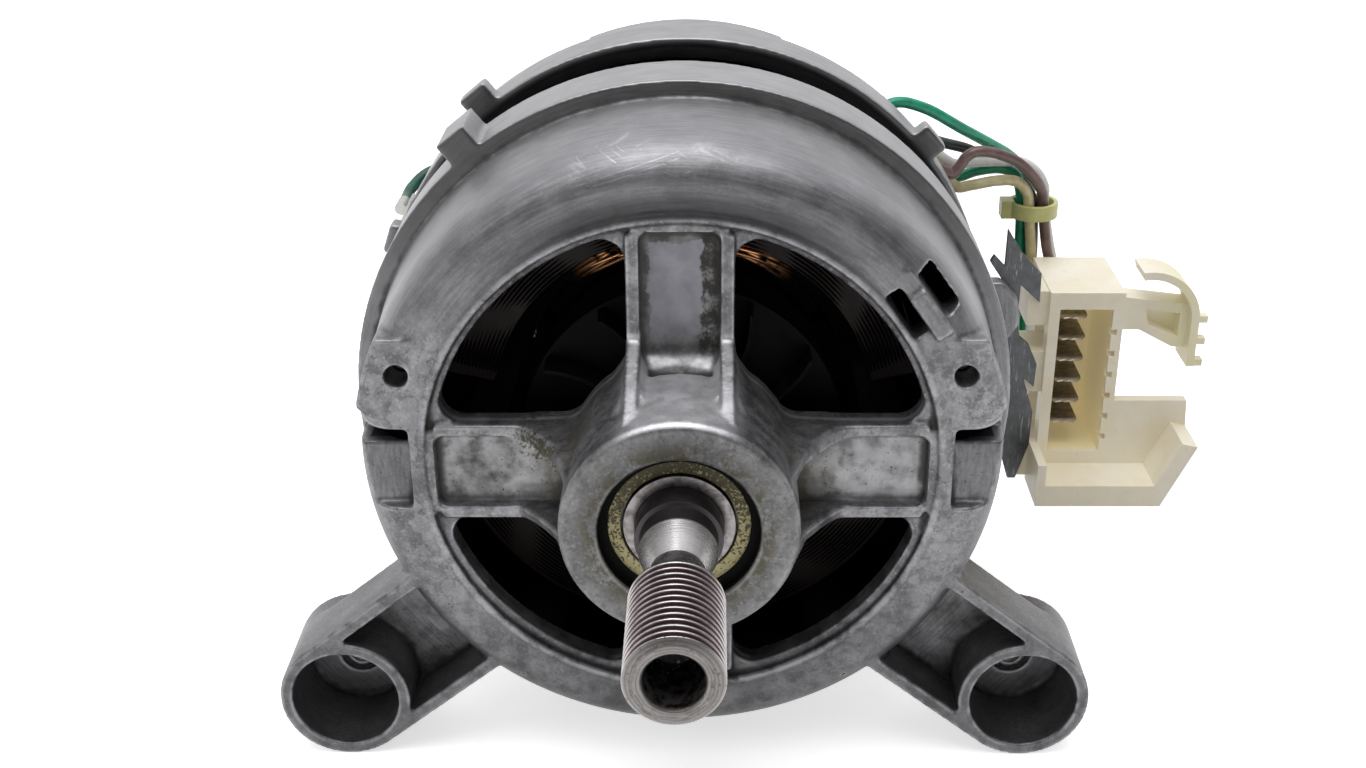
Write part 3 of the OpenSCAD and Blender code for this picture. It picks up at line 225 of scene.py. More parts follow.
world = bpy.data.worlds.new("studio")
scene.world = world
world.use_nodes = True
sky = Graph(world.node_tree)
heading = sky.add("ShaderNodeSeparateXYZ", {}, {0: sky.add("ShaderNodeTexCoord", {}, {}, "Generated")})
heading_y, heading_z = (Value(sky, heading.socket.node.outputs[name]) for name in "YZ")
behind_motor = sky.between(heading_y, -0.15, 0.9)
low_down = sky.between(heading_z, 0.22, 0.14)
overhead = sky.between(heading_z, 0.5, 0.97)
sky_colour = sky.mix(behind_motor, (0.10, 0.10, 0.105), (1.0, 1.0, 1.02))
sky_colour = sky.mix(low_down, sky_colour, (1.0, 1.0, 1.0))
sky_colour = sky.mix(overhead, sky_colour, (1.0, 1.0, 1.03))
world.node_tree.links.new(sky_colour.socket, world.node_tree.nodes["Background"].inputs["Color"])


# Front shield. One die casting in aluminium with hub, four spokes, dome, flange and lug cups;
# its edges are rounded by the die, old grease lies near the hub and in one pocket's corner, and shade and
# highlights are painted on it.
class Finish(Graph):
    """A material: numbers set on its shader, and patterns that feed it; x, y and z are in mm."""

    def __init__(self, name, **numbers):
        self.material = bpy.data.materials.new(name)
        self.material.use_nodes = True
        super().__init__(self.material.node_tree)
        self.shader = self.tree.nodes["Principled BSDF"]
        self.place = self.add("ShaderNodeTexCoord", {}, {}, "Object")
        split = self.add("ShaderNodeSeparateXYZ", {}, {0: self.place}).socket.node
        self.x, self.y, self.z = (Value(self, socket) / MM for socket in split.outputs)
        self.colour = None
        for key, value in numbers.items():
            self.give(key, value)

    def give(self, key, value):
        """Sets or links one socket of the shader, named as in base_color."""
        name = key.replace("_", " ").title().replace("Ior", "IOR")
        socket = self.shader.inputs[name]
        if isinstance(value, Value):
            self.tree.links.new(value.socket, socket)
        else:
            socket.default_value = (*value, 1) if isinstance(value, tuple) and len(value) == 3 else value

    def lay(self, share, colour):
        """Lays a colour over the one so far, fully where share is 1."""
        self.colour = self.mix(share, self.colour, colour)

    def mottle(self, pattern, low, high):
        """Colours the shader between two shades by a pattern."""
        self.give("base_color", self.mix(pattern, low, high))

    def band(self, value, low, full, fading, high):
        """1 from full to fading, 0 under low and over high, and smooth in between."""
        return self.between(value, low, full) * self.between(value, high, fading)

    def from_axis(self):
        """Distance from the shaft's axis in mm."""
        return (self.x * self.x + self.z * self.z) ** 0.5

    def noise(self, scale, detail=2.0, place=None):
        return self.add(
            "ShaderNodeTexNoise",
            {},
            {"Vector": place or self.place, "Scale": scale, "Detail": detail, "Roughness": 0.6},
        )

    def stretched(self, scale, turn=(0, 0, 0)):
        """Object places turned and scaled along each axis, for marks that run one way."""
        turned_place = self.add(
            "ShaderNodeVectorRotate",
            {"rotation_type": "EULER_XYZ"},
            {"Vector": self.place, "Rotation": turn},
        )
        return self.add("ShaderNodeVectorMath", {"operation": "MULTIPLY"}, {0: turned_place, 1: scale})

    def attribute(self, name):
        return self.add("ShaderNodeAttribute", {"attribute_name": name}, {}, "Fac")

    def bump(self, relief, depth):
        """Relief from 0 to 1 as hollows and bumps of that depth in metres."""
        normal = self.add("ShaderNodeBump", {}, {"Strength": 1.0, "Distance": depth, "Height": relief})
        self.give("normal", normal)


def settle(piece):
    """Turns a piece's modifiers into a plain mesh."""
    graph = bpy.context.evaluated_depsgraph_get()
    mesh = bpy.data.meshes.new_from_object(
        piece.evaluated_get(graph), preserve_all_data_layers=True, depsgraph=graph
    )
    rough = piece.data
    piece.modifiers.clear()
    piece.data = mesh
    bpy.data.meshes.remove(rough)
    mesh.name = piece.name
    return piece


def mesh_of(name, shape):
    """A mesh from a shape, which is then let go."""
    mesh = bpy.data.meshes.new(name)
    shape.to_mesh(mesh)
    shape.free()
    return mesh


def linked(name, mesh):
    """A piece in the scene that shows a mesh."""
    piece = bpy.data.objects.new(name, mesh)
    scene.collection.objects.link(piece)
    return piece


def loft(shape, sections):
    """Adds a closed skin over a row of sections, each of which is a ring of points in mm."""
    rows = [[shape.verts.new(Vector(point) * MM) for point in section] for section in sections]
    walls = [shape.faces.new(rows[0][::-1]), shape.faces.new(rows[-1])]
    for row, following in zip(rows, rows[1:]):
        for i in range(len(row)):
            walls.append(shape.faces.new((row[i - 1], row[i], following[i], following[i - 1])))
    bmesh.ops.recalc_face_normals(shape, faces=walls)


def merged_copy(name, node):
    """A copy of a CAD node with its faces joined up along their edges."""
    shape = bmesh.new()
    shape.from_mesh(nodes[node].data)
    bmesh.ops.remove_doubles(shape, verts=shape.verts, dist=2e-7)
    bmesh.ops.recalc_face_normals(shape, faces=shape.faces)
    return linked(name, mesh_of(name, shape))


def casting(name, node, voxel, rounds, most, lumps=()):
    """A copy of a CAD node, with lumps of metal added, that has the soft edges of a casting.

    Each lump is a row of sections. The points of the mesh carry how sharp an edge is, how hollow
    the place is and how much it faces the front.
    """
    piece = merged_copy(name, node)
    shape = bmesh.new()
    shape.from_mesh(piece.data)
    for lump in lumps:
        loft(shape, lump)
    shape.to_mesh(piece.data)
    shape.free()
    skin = piece.modifiers.new("skin", "REMESH")
    skin.mode = "VOXEL"
    skin.voxel_size = voxel
    soften = piece.modifiers.new("soften", "SMOOTH")
    soften.factor = 0.5
    soften.iterations = rounds
    settle(piece)
    triangles = sum(len(face.vertices) - 2 for face in piece.data.polygons)
    thin = piece.modifiers.new("thin", "DECIMATE")
    thin.ratio = min(1.0, most / triangles)
    settle(piece)
    mesh = piece.data
    mesh.shade_smooth()
    points = np.empty(len(mesh.vertices) * 3)
    mesh.vertices.foreach_get("co", points)
    points = points.reshape(-1, 3)
    normals = np.empty(len(mesh.vertices) * 3)
    mesh.vertex_normals.foreach_get("vector", normals)
    normals = normals.reshape(-1, 3)
    edges = np.empty(len(mesh.edges) * 2, int)
    mesh.edges.foreach_get("vertices", edges)
    ends = np.concatenate([edges.reshape(-1, 2), edges.reshape(-1, 2)[:, ::-1]])
    count = np.maximum(np.bincount(ends[:, 0], minlength=len(points)), 1)

    def spread(values, turns):
        for _ in range(turns):
            around = np.bincount(ends[:, 0], weights=values[ends[:, 1]], minlength=len(points))
            values = 0.5 * values + 0.5 * around / count
        return values

    step = points[ends[:, 1]] - points[ends[:, 0]]
    bend = np.einsum("ij,ij->i", normals[ends[:, 0]], step) / np.maximum((step * step).sum(1), 1e-12)
    bend = np.bincount(ends[:, 0], weights=bend, minlength=len(points)) / count
    for label, turns in (("edge", 2), ("hollow", 14)):
        values = np.clip(spread(bend, turns) * 0.002, -1, 1).astype(np.float32)
        mesh.attributes.new(label, "FLOAT", "POINT").data.foreach_set("value", values)
    facing = (-normals[:, 1]).astype(np.float32)
    mesh.attributes.new("facing", "FLOAT", "POINT").data.foreach_set("value", facing)
    return piece


def dress(piece, finish, body, slot, *replaced):
    """Gives a piece its material and body, and hides the CAD nodes it stands for; slot is not used."""
    piece.data.materials.clear()
    piece.data.materials.append(finish.material)
    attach(piece, body)
    if replaced:
        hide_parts(*replaced)


ring_y = 56.7
ring_back = 62.7
pocket_y = ring_y + 2.8
flange_y = 84.2
hub_r = 20.6

cast = Finish("cast_aluminium_finish")
cast_r = cast.from_axis()
cloud = cast.noise(55, 5)
patchy = cast.noise(150, 6)
blotch = cast.noise(330, 4)
grain = cast.noise(1600, 2)
hollow, edge, facing = (cast.attribute(name) for name in ("hollow", "edge", "facing"))
around = cast.add("ShaderNodeMath", {"operation": "ARCTAN2"}, {0: cast.x, 1: cast.z})
brushed_place = cast.add(
    "ShaderNodeCombineXYZ", {}, {"X": around * 9.0, "Y": cast.y * 1.9, "Z": cast_r * 1.9}
)
brushed = cast.noise(1.0, 4, brushed_place)

# The bare metal: mottled on the flat faces, brushed and calmer on the dome
on_dome = cast.between(cast.y, 57.2, 60) * cast.between(cast_r, 46.5, 48)
upper_foot = cast.between(cast_r, 46.9, 47.7) * cast.between(cast.y, 75, 70) * cast.between(cast.z, 20, 34)
on_dome = on_dome.math("MAXIMUM", on_dome, upper_foot)
tone = cast.between(cloud * 0.25 + patchy * 0.35 + blotch * 0.4, 0.40, 0.60)
dome_tone = cast.between(cloud * 0.2 + patchy * 0.3 + blotch * 0.1 + brushed * 0.4, 0.32, 0.68)
tone = tone + on_dome * (dome_tone - tone)
cast.colour = cast.mix(tone, (0.11, 0.11, 0.114), (0.245, 0.245, 0.254))
grained = 1.0 - 0.6 * on_dome
cast.lay(cast.between(grain, 0.52, 0.74) * 0.45 * grained, (0.085, 0.083, 0.08))
cast.lay(cast.between(grain, 0.46, 0.28) * 0.3 * grained, (0.44, 0.44, 0.452))
bloom = cast.between(cast.noise(240, 6), 0.535, 0.565)
cast.lay(bloom * (1.0 - on_dome) * 0.25, (0.40, 0.40, 0.405))
veins = cast.between(abs(cast.noise(170, 6) - 0.5), 0.016, 0.005) * cast.between(patchy, 0.42, 0.56)
cast.lay(veins * 0.5 * (1.0 - on_dome), (0.06, 0.058, 0.05))

# The dome is painted darker along its foot as shade and lighter along its top as a highlight
dome_foot_shade = cast.band(cast_r, 47, 47.8, 49.8, 54) * cast.between(cast.z, 34, 48)
dome_foot_shade = dome_foot_shade * cast.between(cast.y, 75, 70)
cast.lay(dome_foot_shade * 0.92, cast.mix(tone, (0.042, 0.042, 0.043), (0.066, 0.066, 0.068)))
dome_top_highlight = on_dome * cast.between(cast_r, 56.2, 59.2) * cast.between(cast.z, 0, 35)
cast.lay(dome_top_highlight * 0.75, cast.mix(tone, (0.29, 0.29, 0.30), (0.43, 0.43, 0.445)))

# Painted highlights on the tops of the ribs and the hub; the hub's face is darker, and painted shade lies on
# the lower ring
rib_highlight = cast.band(abs(cast.x), 6.4, 7.2, 9.4, 10.2) * cast.band(cast.z, 16, 24.5, 25, 27)
rib_highlight = rib_highlight * cast.between(facing, 0.1, 0.35) * (0.6 + 0.4 * tone)
cast.lay(rib_highlight, (0.62, 0.62, 0.63))
# Painted highlight on the top of the hub between the ribs
hub_top_highlight = cast.between(cast.z, 12, 19) * cast.between(abs(cast.x), 12, 7)
hub_top_highlight = hub_top_highlight * cast.band(cast_r, 19.6, 20.3, 22, 23.6)
cast.lay(hub_top_highlight * 0.85, cast.mix(tone, (0.58, 0.58, 0.60), (0.76, 0.76, 0.78)))
hub_face = cast.between(cast_r, 21.2, 20.4) * cast.between(cast.y, 36, 34) * (1.0 - hub_top_highlight)
cast.lay(hub_face * 0.35, (0.085, 0.083, 0.074))
mouth_dirt = hub_face * cast.between(cast_r, 18.6, 15) * cast.between(blotch + 0.2 * grain, 0.52, 0.68)
cast.lay(mouth_dirt * 0.8, (0.06, 0.055, 0.028))
# Painted shade on the lower part of the ring's face
lower_ring_shade = cast.between(cast.z, -5, -50) * cast.between(cast.y, 64, 60)
cast.lay(lower_ring_shade * 0.65, cast.mix(tone, (0.055, 0.055, 0.056), (0.12, 0.12, 0.122)))

# The floors of the spokes' pockets are painted lighter, as light on them; the top one is stained along its
# right side
pocket_floor = cast.band(cast.y, ring_y + 1.9, ring_y + 2.5, ring_y + 3.1, ring_y + 3.6)
pocket_floor = pocket_floor * cast.between(cast_r, 45.5, 44.5)
cast.lay(pocket_floor * 0.8, cast.mix(tone, (0.34, 0.34, 0.345), (0.56, 0.56, 0.57)))
wander = (cast.noise(260, 5) - 0.5) * 4.5
patch = cast.band(cast.x + wander, -5.6, -5.2, 3.5, 3.9)
patch = patch * cast.between(cast.z, 22, 27) * cast.between(cast.z + wander, 42.6, 42.2)
stain = cast.between(blotch + 0.5 * grain, 0.60, 0.84) * cast.between(cast.x + wander, 2.8, 4.2)
top_floor = pocket_floor * cast.between(cast.z, 19, 22)
cast.lay(top_floor * (1.0 - patch) * (0.3 + 0.65 * stain), (0.06, 0.06, 0.058))

# Pits, worn edges, and painted shade in the hollows; the top pocket's patch, wiped clean, is laid over that
# shade
pits = cast.between(cast.noise(1500, 2), 0.67, 0.71) * cast.between(cast.z, 45, -10)
cast.lay(pits * 0.8, (0.05, 0.046, 0.042))
worn = cast.between(-edge, 0.14, 0.5) * cast.between(blotch, 0.3, 0.6)
cast.lay(worn * 0.35, (0.50, 0.50, 0.515))
# Painted shade in the hollows, broken up by noise
hollow_shade = cast.between(hollow + (blotch - 0.5) * 0.5 + (cloud - 0.5) * 0.4, 0.1, 0.45)
cast.lay(hollow_shade * 0.85, (0.05, 0.047, 0.042))
cast.lay(top_floor * patch * 0.92, cast.mix(tone, (0.24, 0.235, 0.26), (0.30, 0.294, 0.32)))

# Old grease: a film near the hub and specks in a corner of the left pocket; the hub's mouth is painted black
# as shade, olive towards its top
olive = cast.between(cast_r, 31, 19.5) * cast.between(cast.y, 36, 46) * cast.between(cast.z, 18, 14)
olive = olive * cast.between(cloud + hollow * 0.8 + 0.3 * blotch, 0.58, 0.85)
cast.lay(olive * 0.6, (0.10, 0.09, 0.048))
corner_dirt = cast.between(cast.x + wander, -35, -23) * cast.between(cast.x, -17, -20)
corner_dirt = corner_dirt * cast.between(cast.z + wander, -6, 6) * cast.between(cast.z, 9, 7.5)
corner_dirt = corner_dirt * cast.between(cast.y, 45, 50)
speck_place = cast.stretched((1, 1, 1), (0.6, 0.4, 0.9))
specks = cast.noise(1700, 6, speck_place) + 0.5 * cast.noise(420, 3, speck_place) + 0.2 * corner_dirt
specks = cast.between(specks, 0.80, 0.98) * cast.between(corner_dirt, 0.0, 0.35)
cast.lay(specks * 0.9, cast.mix(blotch, (0.02, 0.019, 0.012), (0.10, 0.094, 0.045)))
# Painted shade: the hub's mouth is near-black, olive towards its top
mouth = cast.between(cast_r, 15.3, 14.8) * cast.between(cast.y, 32.3, 33)
cast.lay(mouth, cast.mix(cast.between(cast.z, 4, 11), (0.008, 0.008, 0.007), (0.07, 0.062, 0.03)))

# Painted shade blackens the inside and darkens the front faces of flange and ears, and their rims are pale
inside = cast.band(cast.y, ring_back + 0.2, ring_back + 1.5, 98, 102) * cast.between(cast_r, 57.9, 57.4)
cast.lay(inside * 0.95, (0.010, 0.009, 0.009))
front_face = cast.between(facing, 0.55, 0.85)
front_face_shade = front_face * cast.between(cast.y, 80, 82) * cast.between(cast.z, -5, 45) * (0.75 + 0.25 * tone)
cast.lay(front_face_shade, cast.mix(patchy, (0.03, 0.029, 0.029), (0.10, 0.098, 0.096)))
rims = cast.between(cast.y, flange_y + 0.5, flange_y + 1.2) * cast.between(cast_r, 62.5, 63.2)
rims = rims * (1.0 - front_face)
cast.lay(rims * 0.6, cast.mix(tone, (0.34, 0.34, 0.345), (0.48, 0.48, 0.485)))


def streaks(scale, lean):
    """Thin lines that lean so much; the scale says how short and how close they are."""
    lines = cast.noise(1.0, 0, cast.stretched(scale, (0.0, lean, 0.0)))
    return cast.between(abs(lines - 0.5), 0.05, 0.015)


# Fine scratches cross the top of the dome
polished = on_dome * cast.between(cast.z, 38, 48) * cast.between(cast.y, 82, 78)
polished = polished * cast.between(cast_r, 51, 54)
scratches = streaks((34, 34, 900), 0.28) * cast.between(patchy, 0.47, 0.53)
scratches = scratches + streaks((40, 40, 1000), -0.40) * cast.between(patchy, 0.50, 0.44)
scratches = scratches * polished * cast.between(cloud, 0.44, 0.56) * cast.band(cast.x, -34, -22, 0, 25)
scratches = scratches * cast.between(cast.y, 74, 68) * cast.between(cast_r, 53.5, 55)
cast.lay(scratches * 0.22, (0.75, 0.75, 0.76))
cast.give("base_color", cast.colour)
cast.give("metallic", 0.8 + 0.2 * mouth)
cast.give("roughness", 0.36 + 0.2 * blotch + 0.25 * hollow_shade + 0.2 * inside + 0.4 * mouth - 0.1 * scratches)
relief = (grain * 0.35 + blotch * 0.5) * (1.0 - 0.75 * on_dome) + 0.2 * brushed * polished
cast.bump(relief, 0.16 * MM)

up = Vector((0, 0, 1))
side_on = Vector((1, 0, 0))
back = Vector((0, 1, 0))
side_spoke_drop = Vector((0, 0, -1.2))
buried = -1.5
pocket_half = 7.2
ledge_half = [(47.2, 8.4), (43.6, 8.4), (43.6, 7.0), (44.65, 6.0)]
ledge_outline = ledge_half + [(r, -u) for r, u in reversed(ledge_half)]


def spoke_lumps(out, across, drop, run, climb, bow):
    """The roots of a spoke's two ribs on the hub, the bed of its pocket and a filler at the ring.

    A root starts buried in the hub, runs so far out, climbs so far forward, and bows as it climbs.
    """

    def spot(u, reach, y):
        """A point so far across the spoke and so far out from the hub's round side."""
        return out * (math.sqrt(hub_r ** 2 - u ** 2) + reach) + across * u + back * y + drop

    made = []
    for hand in (-1, 1):
        root = []
        for step in range(17):
            reach = buried + step * (run + 2.5) / 16
            near = 1 - min(max(reach / run, 0), 1)
            flare = max(0, 1 - max(reach, 0) / 2.6) ** 2
            front = ring_y - climb * near ** bow
            inner = hand * (6.9 - 1.2 * flare)
            outer = hand * (9.5 + 2.2 * flare + 0.5 * near)
            corners = ((inner, front), (outer, front), (outer, ring_back), (inner, ring_back))
            root.append([spot(u, reach, y) for u, y in corners])
        made.append(root)
    bed = []
    for step in range(10):
        reach = buried + step * 0.6
        front = pocket_y - 3.2 * max(0, 1 - max(reach, 0) / 3.6) ** 2
        sides = ((-pocket_half, front), (pocket_half, front))
        sides += ((pocket_half, ring_back), (-pocket_half, ring_back))
        bed.append([spot(u, reach, y) for u, y in sides])
    filler = [
        [out * r + across * u + back * y + drop for r, u in ledge_outline] for y in (ring_y + 0.2, ring_back)
    ]
    return made + [bed, filler]


lumps = []
for sign in (1, -1):
    lumps += spoke_lumps(sign * up, side_on, Vector(), 6.4, 15.5, 1.5)
    lumps += spoke_lumps(sign * side_on, up, side_spoke_drop, 10.8, 14.5, 1.25)
front_shield = casting("front_shield_casting", "front_shield", 0.42 * MM, 6, 190000, lumps)
dress(front_shield, cast, "frame", "cast_aluminium", "front_shield")


# Stator core. A stack of dark varnished steel sheets between the two shields, of which only a
# slit shows at the top; it stays as the CAD solid, and its finish draws the edges of the sheets.
def paint(finish, slot, *names):
    """Gives CAD nodes that stay in sight a finish of their own."""
    for name in names:
        nodes[name].data.materials.clear()
        nodes[name].data.materials.append(finish.material)


sheet_t = 0.65
sheets = Finish("sheet_stack", specular_ior_level=0.1)
sheet_count = sheets.y / sheet_t
sheet_line = sheets.between(abs(sheet_count.math("FRACT", sheet_count) - 0.5), 0.32, 0.46)
# The sheets nearer the axis than about 60 mm are painted near-black as shade
inner_sheet_shade = sheets.between(sheets.from_axis(), 61, 59)
varnish = sheets.mix(sheets.noise(180, 4), (0.028, 0.018, 0.018), (0.065, 0.046, 0.044))
varnish = sheets.mix(inner_sheet_shade, varnish, (0.004, 0.0035, 0.0035))
sheets.mottle(sheet_line, varnish, (0.008, 0.006, 0.006))
sheets.give("roughness", 0.42 + 0.2 * sheets.noise(400, 2) + 0.3 * inner_sheet_shade)
sheets.give("metallic", 0.5 - 0.5 * inner_sheet_shade)
sheets.bump(1.0 - sheet_line, 0.06 * MM)
paint(sheets, "core_sheet", "stator_core", "rotor_core")


# Field coils. Two coils of enamelled copper wire round the poles; the outer turns of each head
# are drawn wire by wire over the CAD solid, and all but the top are painted near-black as shade.
class Recipe(Graph):
    """A geometry node tree with named inputs, run once on a base mesh to make a piece."""

    def __init__(self, name):
        super().__init__(bpy.data.node_groups.new(name, "GeometryNodeTree"))
        self.entry = self.tree.nodes.new("NodeGroupInput")
        self.shape = self.ask("Shape", "Geometry")

    def ask(self, name, kind):
        self.tree.interface.new_socket(name, in_out="INPUT", socket_type="NodeSocket" + kind)
        return Value(self, self.entry.outputs[name])

    def serve(self, shape):
        """Ends the tree: real geometry that wears the given finish."""
        finish = self.ask("Finish", "Material")
        real = self.add("GeometryNodeRealizeInstances", {}, {0: shape})
        worn_shape = self.add("GeometryNodeSetMaterial", {}, {"Geometry": real, "Material": finish})
        self.tree.interface.new_socket("Shape", in_out="OUTPUT", socket_type="NodeSocketGeometry")
        self.tree.links.new(worn_shape.socket, self.tree.nodes.new("NodeGroupOutput").inputs[0])
        return self

    def make(self, name, base, finish, **sizes):
        """Runs the tree on a base mesh and returns the piece as a plain mesh."""
        piece = linked(name, base)
        step = piece.modifiers.new("recipe", "NODES")
        step.node_group = self.tree
        values = {key.replace("_", " ").capitalize(): value for key, value in sizes.items()}
        values["Finish"] = finish.material
        for item in self.tree.interface.items_tree:
            if item.in_out == "INPUT" and item.name in values:
                step[item.identifier] = values[item.name]
        return settle(piece)


def routes_mesh(name, routes):
    """A base mesh of open lines, from lists of points in mm."""
    points = [Vector(point) * MM for route in routes for point in route]
    edges = []
    start = 0
    for route in routes:
        edges += [(start + i, start + i + 1) for i in range(len(route) - 1)]
        start += len(route)
    mesh = bpy.data.meshes.new(name)
    mesh.from_pydata(points, edges, [])
    return mesh


strand = Recipe("Round strand along each line")
strand_radius = strand.ask("Radius", "Float")
strand_sides = strand.ask("Sides", "Int")
strand_steps = strand.ask("Steps", "Int")
strand_line = strand.add("GeometryNodeMeshToCurve", {}, {"Mesh": strand.shape})
strand_line = strand.add(
    "GeometryNodeCurveSplineType", {"spline_type": "CATMULL_ROM"}, {"Curve": strand_line}
)
strand_line = strand.add(
    "GeometryNodeSetSplineResolution", {}, {"Geometry": strand_line, "Resolution": strand_steps}
)
strand_ring = strand.add(
    "GeometryNodeCurvePrimitiveCircle", {}, {"Resolution": strand_sides, "Radius": strand_radius}
)
strand_skin = strand.add(
    "GeometryNodeCurveToMesh", {}, {"Curve": strand_line, "Profile Curve": strand_ring, "Fill Caps": True}
)
strand.serve(strand_skin)

enamel = Finish("enamelled_copper", specular_ior_level=0.03)
# Painted shade: the wire is near-black but for a few turns at the top of the front heads
unshaded_wire = enamel.between(enamel.z, 26, 30) * enamel.between(abs(enamel.x), 21, 13)
unshaded_wire = unshaded_wire * enamel.between(enamel.y, 84, 79) * enamel.between(enamel.from_axis(), 36.7, 36.3)
unshaded_wire = unshaded_wire * enamel.between(enamel.noise(260, 2), 0.36, 0.5)
enamel.mottle(unshaded_wire, (0.004, 0.003, 0.0025), (0.85, 0.42, 0.20))
enamel.give("roughness", 0.7 - 0.4 * unshaded_wire)
enamel.give("metallic", 0.95 * unshaded_wire)
# The solid coils, the armature winding and the tacho coil are painted near-black as shade
shaded_copper = Finish("dusty_copper", metallic=0.4)
shaded_copper.mottle(shaded_copper.noise(300, 4), (0.004, 0.003, 0.0025), (0.016, 0.008, 0.005))
shaded_copper.give("roughness", 0.5 + 0.2 * shaded_copper.noise(500, 2))

coil_r0 = 36.8
coil_r1 = 46.0
wire_d = 0.72
coil_start = 13.0
core_front_y = 91.0
core_back_y = 131.6
for side, turn in (("top", 0), ("bottom", 180)):
    coil_lo, coil_hi = (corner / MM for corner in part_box("field_coil_" + side))
    turns = []
    for end_y, core_y in ((coil_lo.y, core_front_y), (coil_hi.y, core_back_y)):
        inward = 1 if core_y > end_y else -1
        rows = int(abs(core_y - end_y) / wire_d)
        layers = int((coil_r1 - coil_r0) / wire_d)
        spots = [(coil_r0 + (k + 0.5) * wire_d, 0) for k in range(layers)]
        spots += [(radius, row) for row in range(1, rows) for radius in (coil_r0 + 0.2, coil_r1 - 0.2)]
        for radius, row in spots:
            y = end_y + inward * (row + 0.35) * wire_d
            first = coil_start + 1.1 * row
            arc = [(first, core_y), (first, y + 2.2 * inward)]
            arc += [(first + 2.2 + t * (180 - 2 * first - 4.4) / 22, y) for t in range(23)]
            arc += [(180 - first, y + 2.2 * inward), (180 - first, core_y)]
            turns.append([
                (
                    radius * math.cos(math.radians(a + turn)),
                    along + 0.12 * math.sin(a * 0.7 + radius * 9 + row * 5),
                    radius * math.sin(math.radians(a + turn)),
                )
                for a, along in arc
            ])
    for loose in range(7):
        radius = coil_r0 - 0.3 - 0.55 * loose
        turns.append([
            (
                radius * math.cos(math.radians(a + turn)),
                coil_lo.y + 0.5 + 0.45 * loose + 0.3 * math.sin(a * 0.13 + loose),
                (radius + 0.35 * math.sin(a * 0.21 + 2 * loose)) * math.sin(math.radians(a + turn)),
            )
            for a in range(52, 129, 4)
        ])
    wires = strand.make(
        "field_coil_" + side + "_wires",
        routes_mesh("coil_lines", turns),
        enamel,
        radius=0.5 * wire_d * MM,
        sides=6,
        steps=2,
    )
    wires.data.shade_smooth()
    dress(wires, enamel, "frame", "copper")
paint(shaded_copper, "copper", "field_coil_top", "field_coil_bottom", "armature_winding")


# Shaft. One turned steel bar with the poly-V pulley cut into its free end, a neck, a polished cone
# and the bearing seats; belt dust and painted shade darken the grooves, and the free end's face is darker
# and duller.
def eased(outline, size):
    """An outline with each corner cut to a short round of about that size."""
    soft = []
    for before, corner, after in zip(outline[-1:] + outline[:-1], outline, outline[1:] + outline[:1]):
        corner = Vector(corner)
        if corner.x < 1e-6:
            soft.append(tuple(corner))
            continue
        back = Vector(before) - corner
        ahead = Vector(after) - corner
        first = corner + back * min(0.45, size / max(back.length, 1e-6))
        last = corner + ahead * min(0.45, size / max(ahead.length, 1e-6))
        middle = 0.25 * first + 0.5 * corner + 0.25 * last
        soft += [tuple(first), tuple(middle), tuple(last)]
    return soft


def turned(name, outline, size, steps=128):
    """A turned piece: a closed outline of (radius, place along the shaft) in mm, edges eased."""
    outline = eased(outline, size)
    shape = bmesh.new()
    rings = []
    for step in range(steps):
        angle = 2 * math.pi * step / steps
        rings.append([
            shape.verts.new((r * MM * math.sin(angle), y * MM, r * MM * math.cos(angle))) for r, y in outline
        ])
    for ring, following in zip(rings, rings[1:] + rings[:1]):
        for i in range(len(outline)):
            shape.faces.new((ring[i - 1], ring[i], following[i], following[i - 1]))
    bmesh.ops.remove_doubles(shape, verts=shape.verts, dist=1e-7)
    bmesh.ops.recalc_face_normals(shape, faces=shape.faces)
    mesh = mesh_of(name, shape)
    mesh.shade_smooth()
    mesh.set_sharp_from_angle(angle=math.radians(50))
    return linked(name, mesh)


shaft_lo, shaft_hi = (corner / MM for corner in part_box("shaft"))
pulley_r = 7.75
groove_pitch = 1.6
groove_count = 13
groove_depth = 1.3
groove_profile = ((0, -0.6), (groove_depth, -0.15), (groove_depth, 0.15), (0, 0.6))
pulley_half = groove_pitch * groove_count / 2
nose_y = shaft_lo.y
tail_y = shaft_hi.y
bore_r = 4.7
bore_depth = 12
bore_tip = 1.57
neck_y = pulley_half + groove_pitch / 2
neck_r = 4.6
neck_length = 8
cone_r = 6.65
cone_end = neck_y + 14.6
seat_r = 7.5
seat_y = neck_y + 18.8
rear_seat_r = 6
rear_seat_y = 168.51
rear_seat_end = 179.01
tail_r = 4

outline = [(0, nose_y + bore_depth + bore_tip), (bore_r, nose_y + bore_depth), (bore_r, nose_y + 0.5)]
outline += [(bore_r + 0.5, nose_y), (pulley_r - 1.35, nose_y), (pulley_r, -pulley_half)]
for groove in range(groove_count):
    middle = -pulley_half + (groove + 0.5) * groove_pitch
    outline += [(pulley_r - drop, middle + step) for drop, step in groove_profile]
outline += [(pulley_r, neck_y - 0.5), (pulley_r - 0.5, neck_y), (neck_r, neck_y)]
outline += [(neck_r, neck_y + neck_length), (cone_r, cone_end), (cone_r, seat_y)]
outline += [(seat_r, seat_y), (seat_r, rear_seat_y)]
outline += [(rear_seat_r, rear_seat_y), (rear_seat_r, rear_seat_end), (tail_r, rear_seat_end)]
outline += [(tail_r, tail_y), (0, tail_y)]
shaft = turned("shaft_bar", outline, 0.14, 144)

bar = Finish("turned_bar", metallic=1.0)
bar_r = bar.from_axis()
lathe_marks = bar.noise(1.0, 3, bar.stretched((60, 5200, 60)))
smudge = bar.noise(420, 4)
bar.colour = bar.mix(bar.between(smudge, 0.35, 0.65), (0.42, 0.40, 0.40), (0.55, 0.53, 0.53))
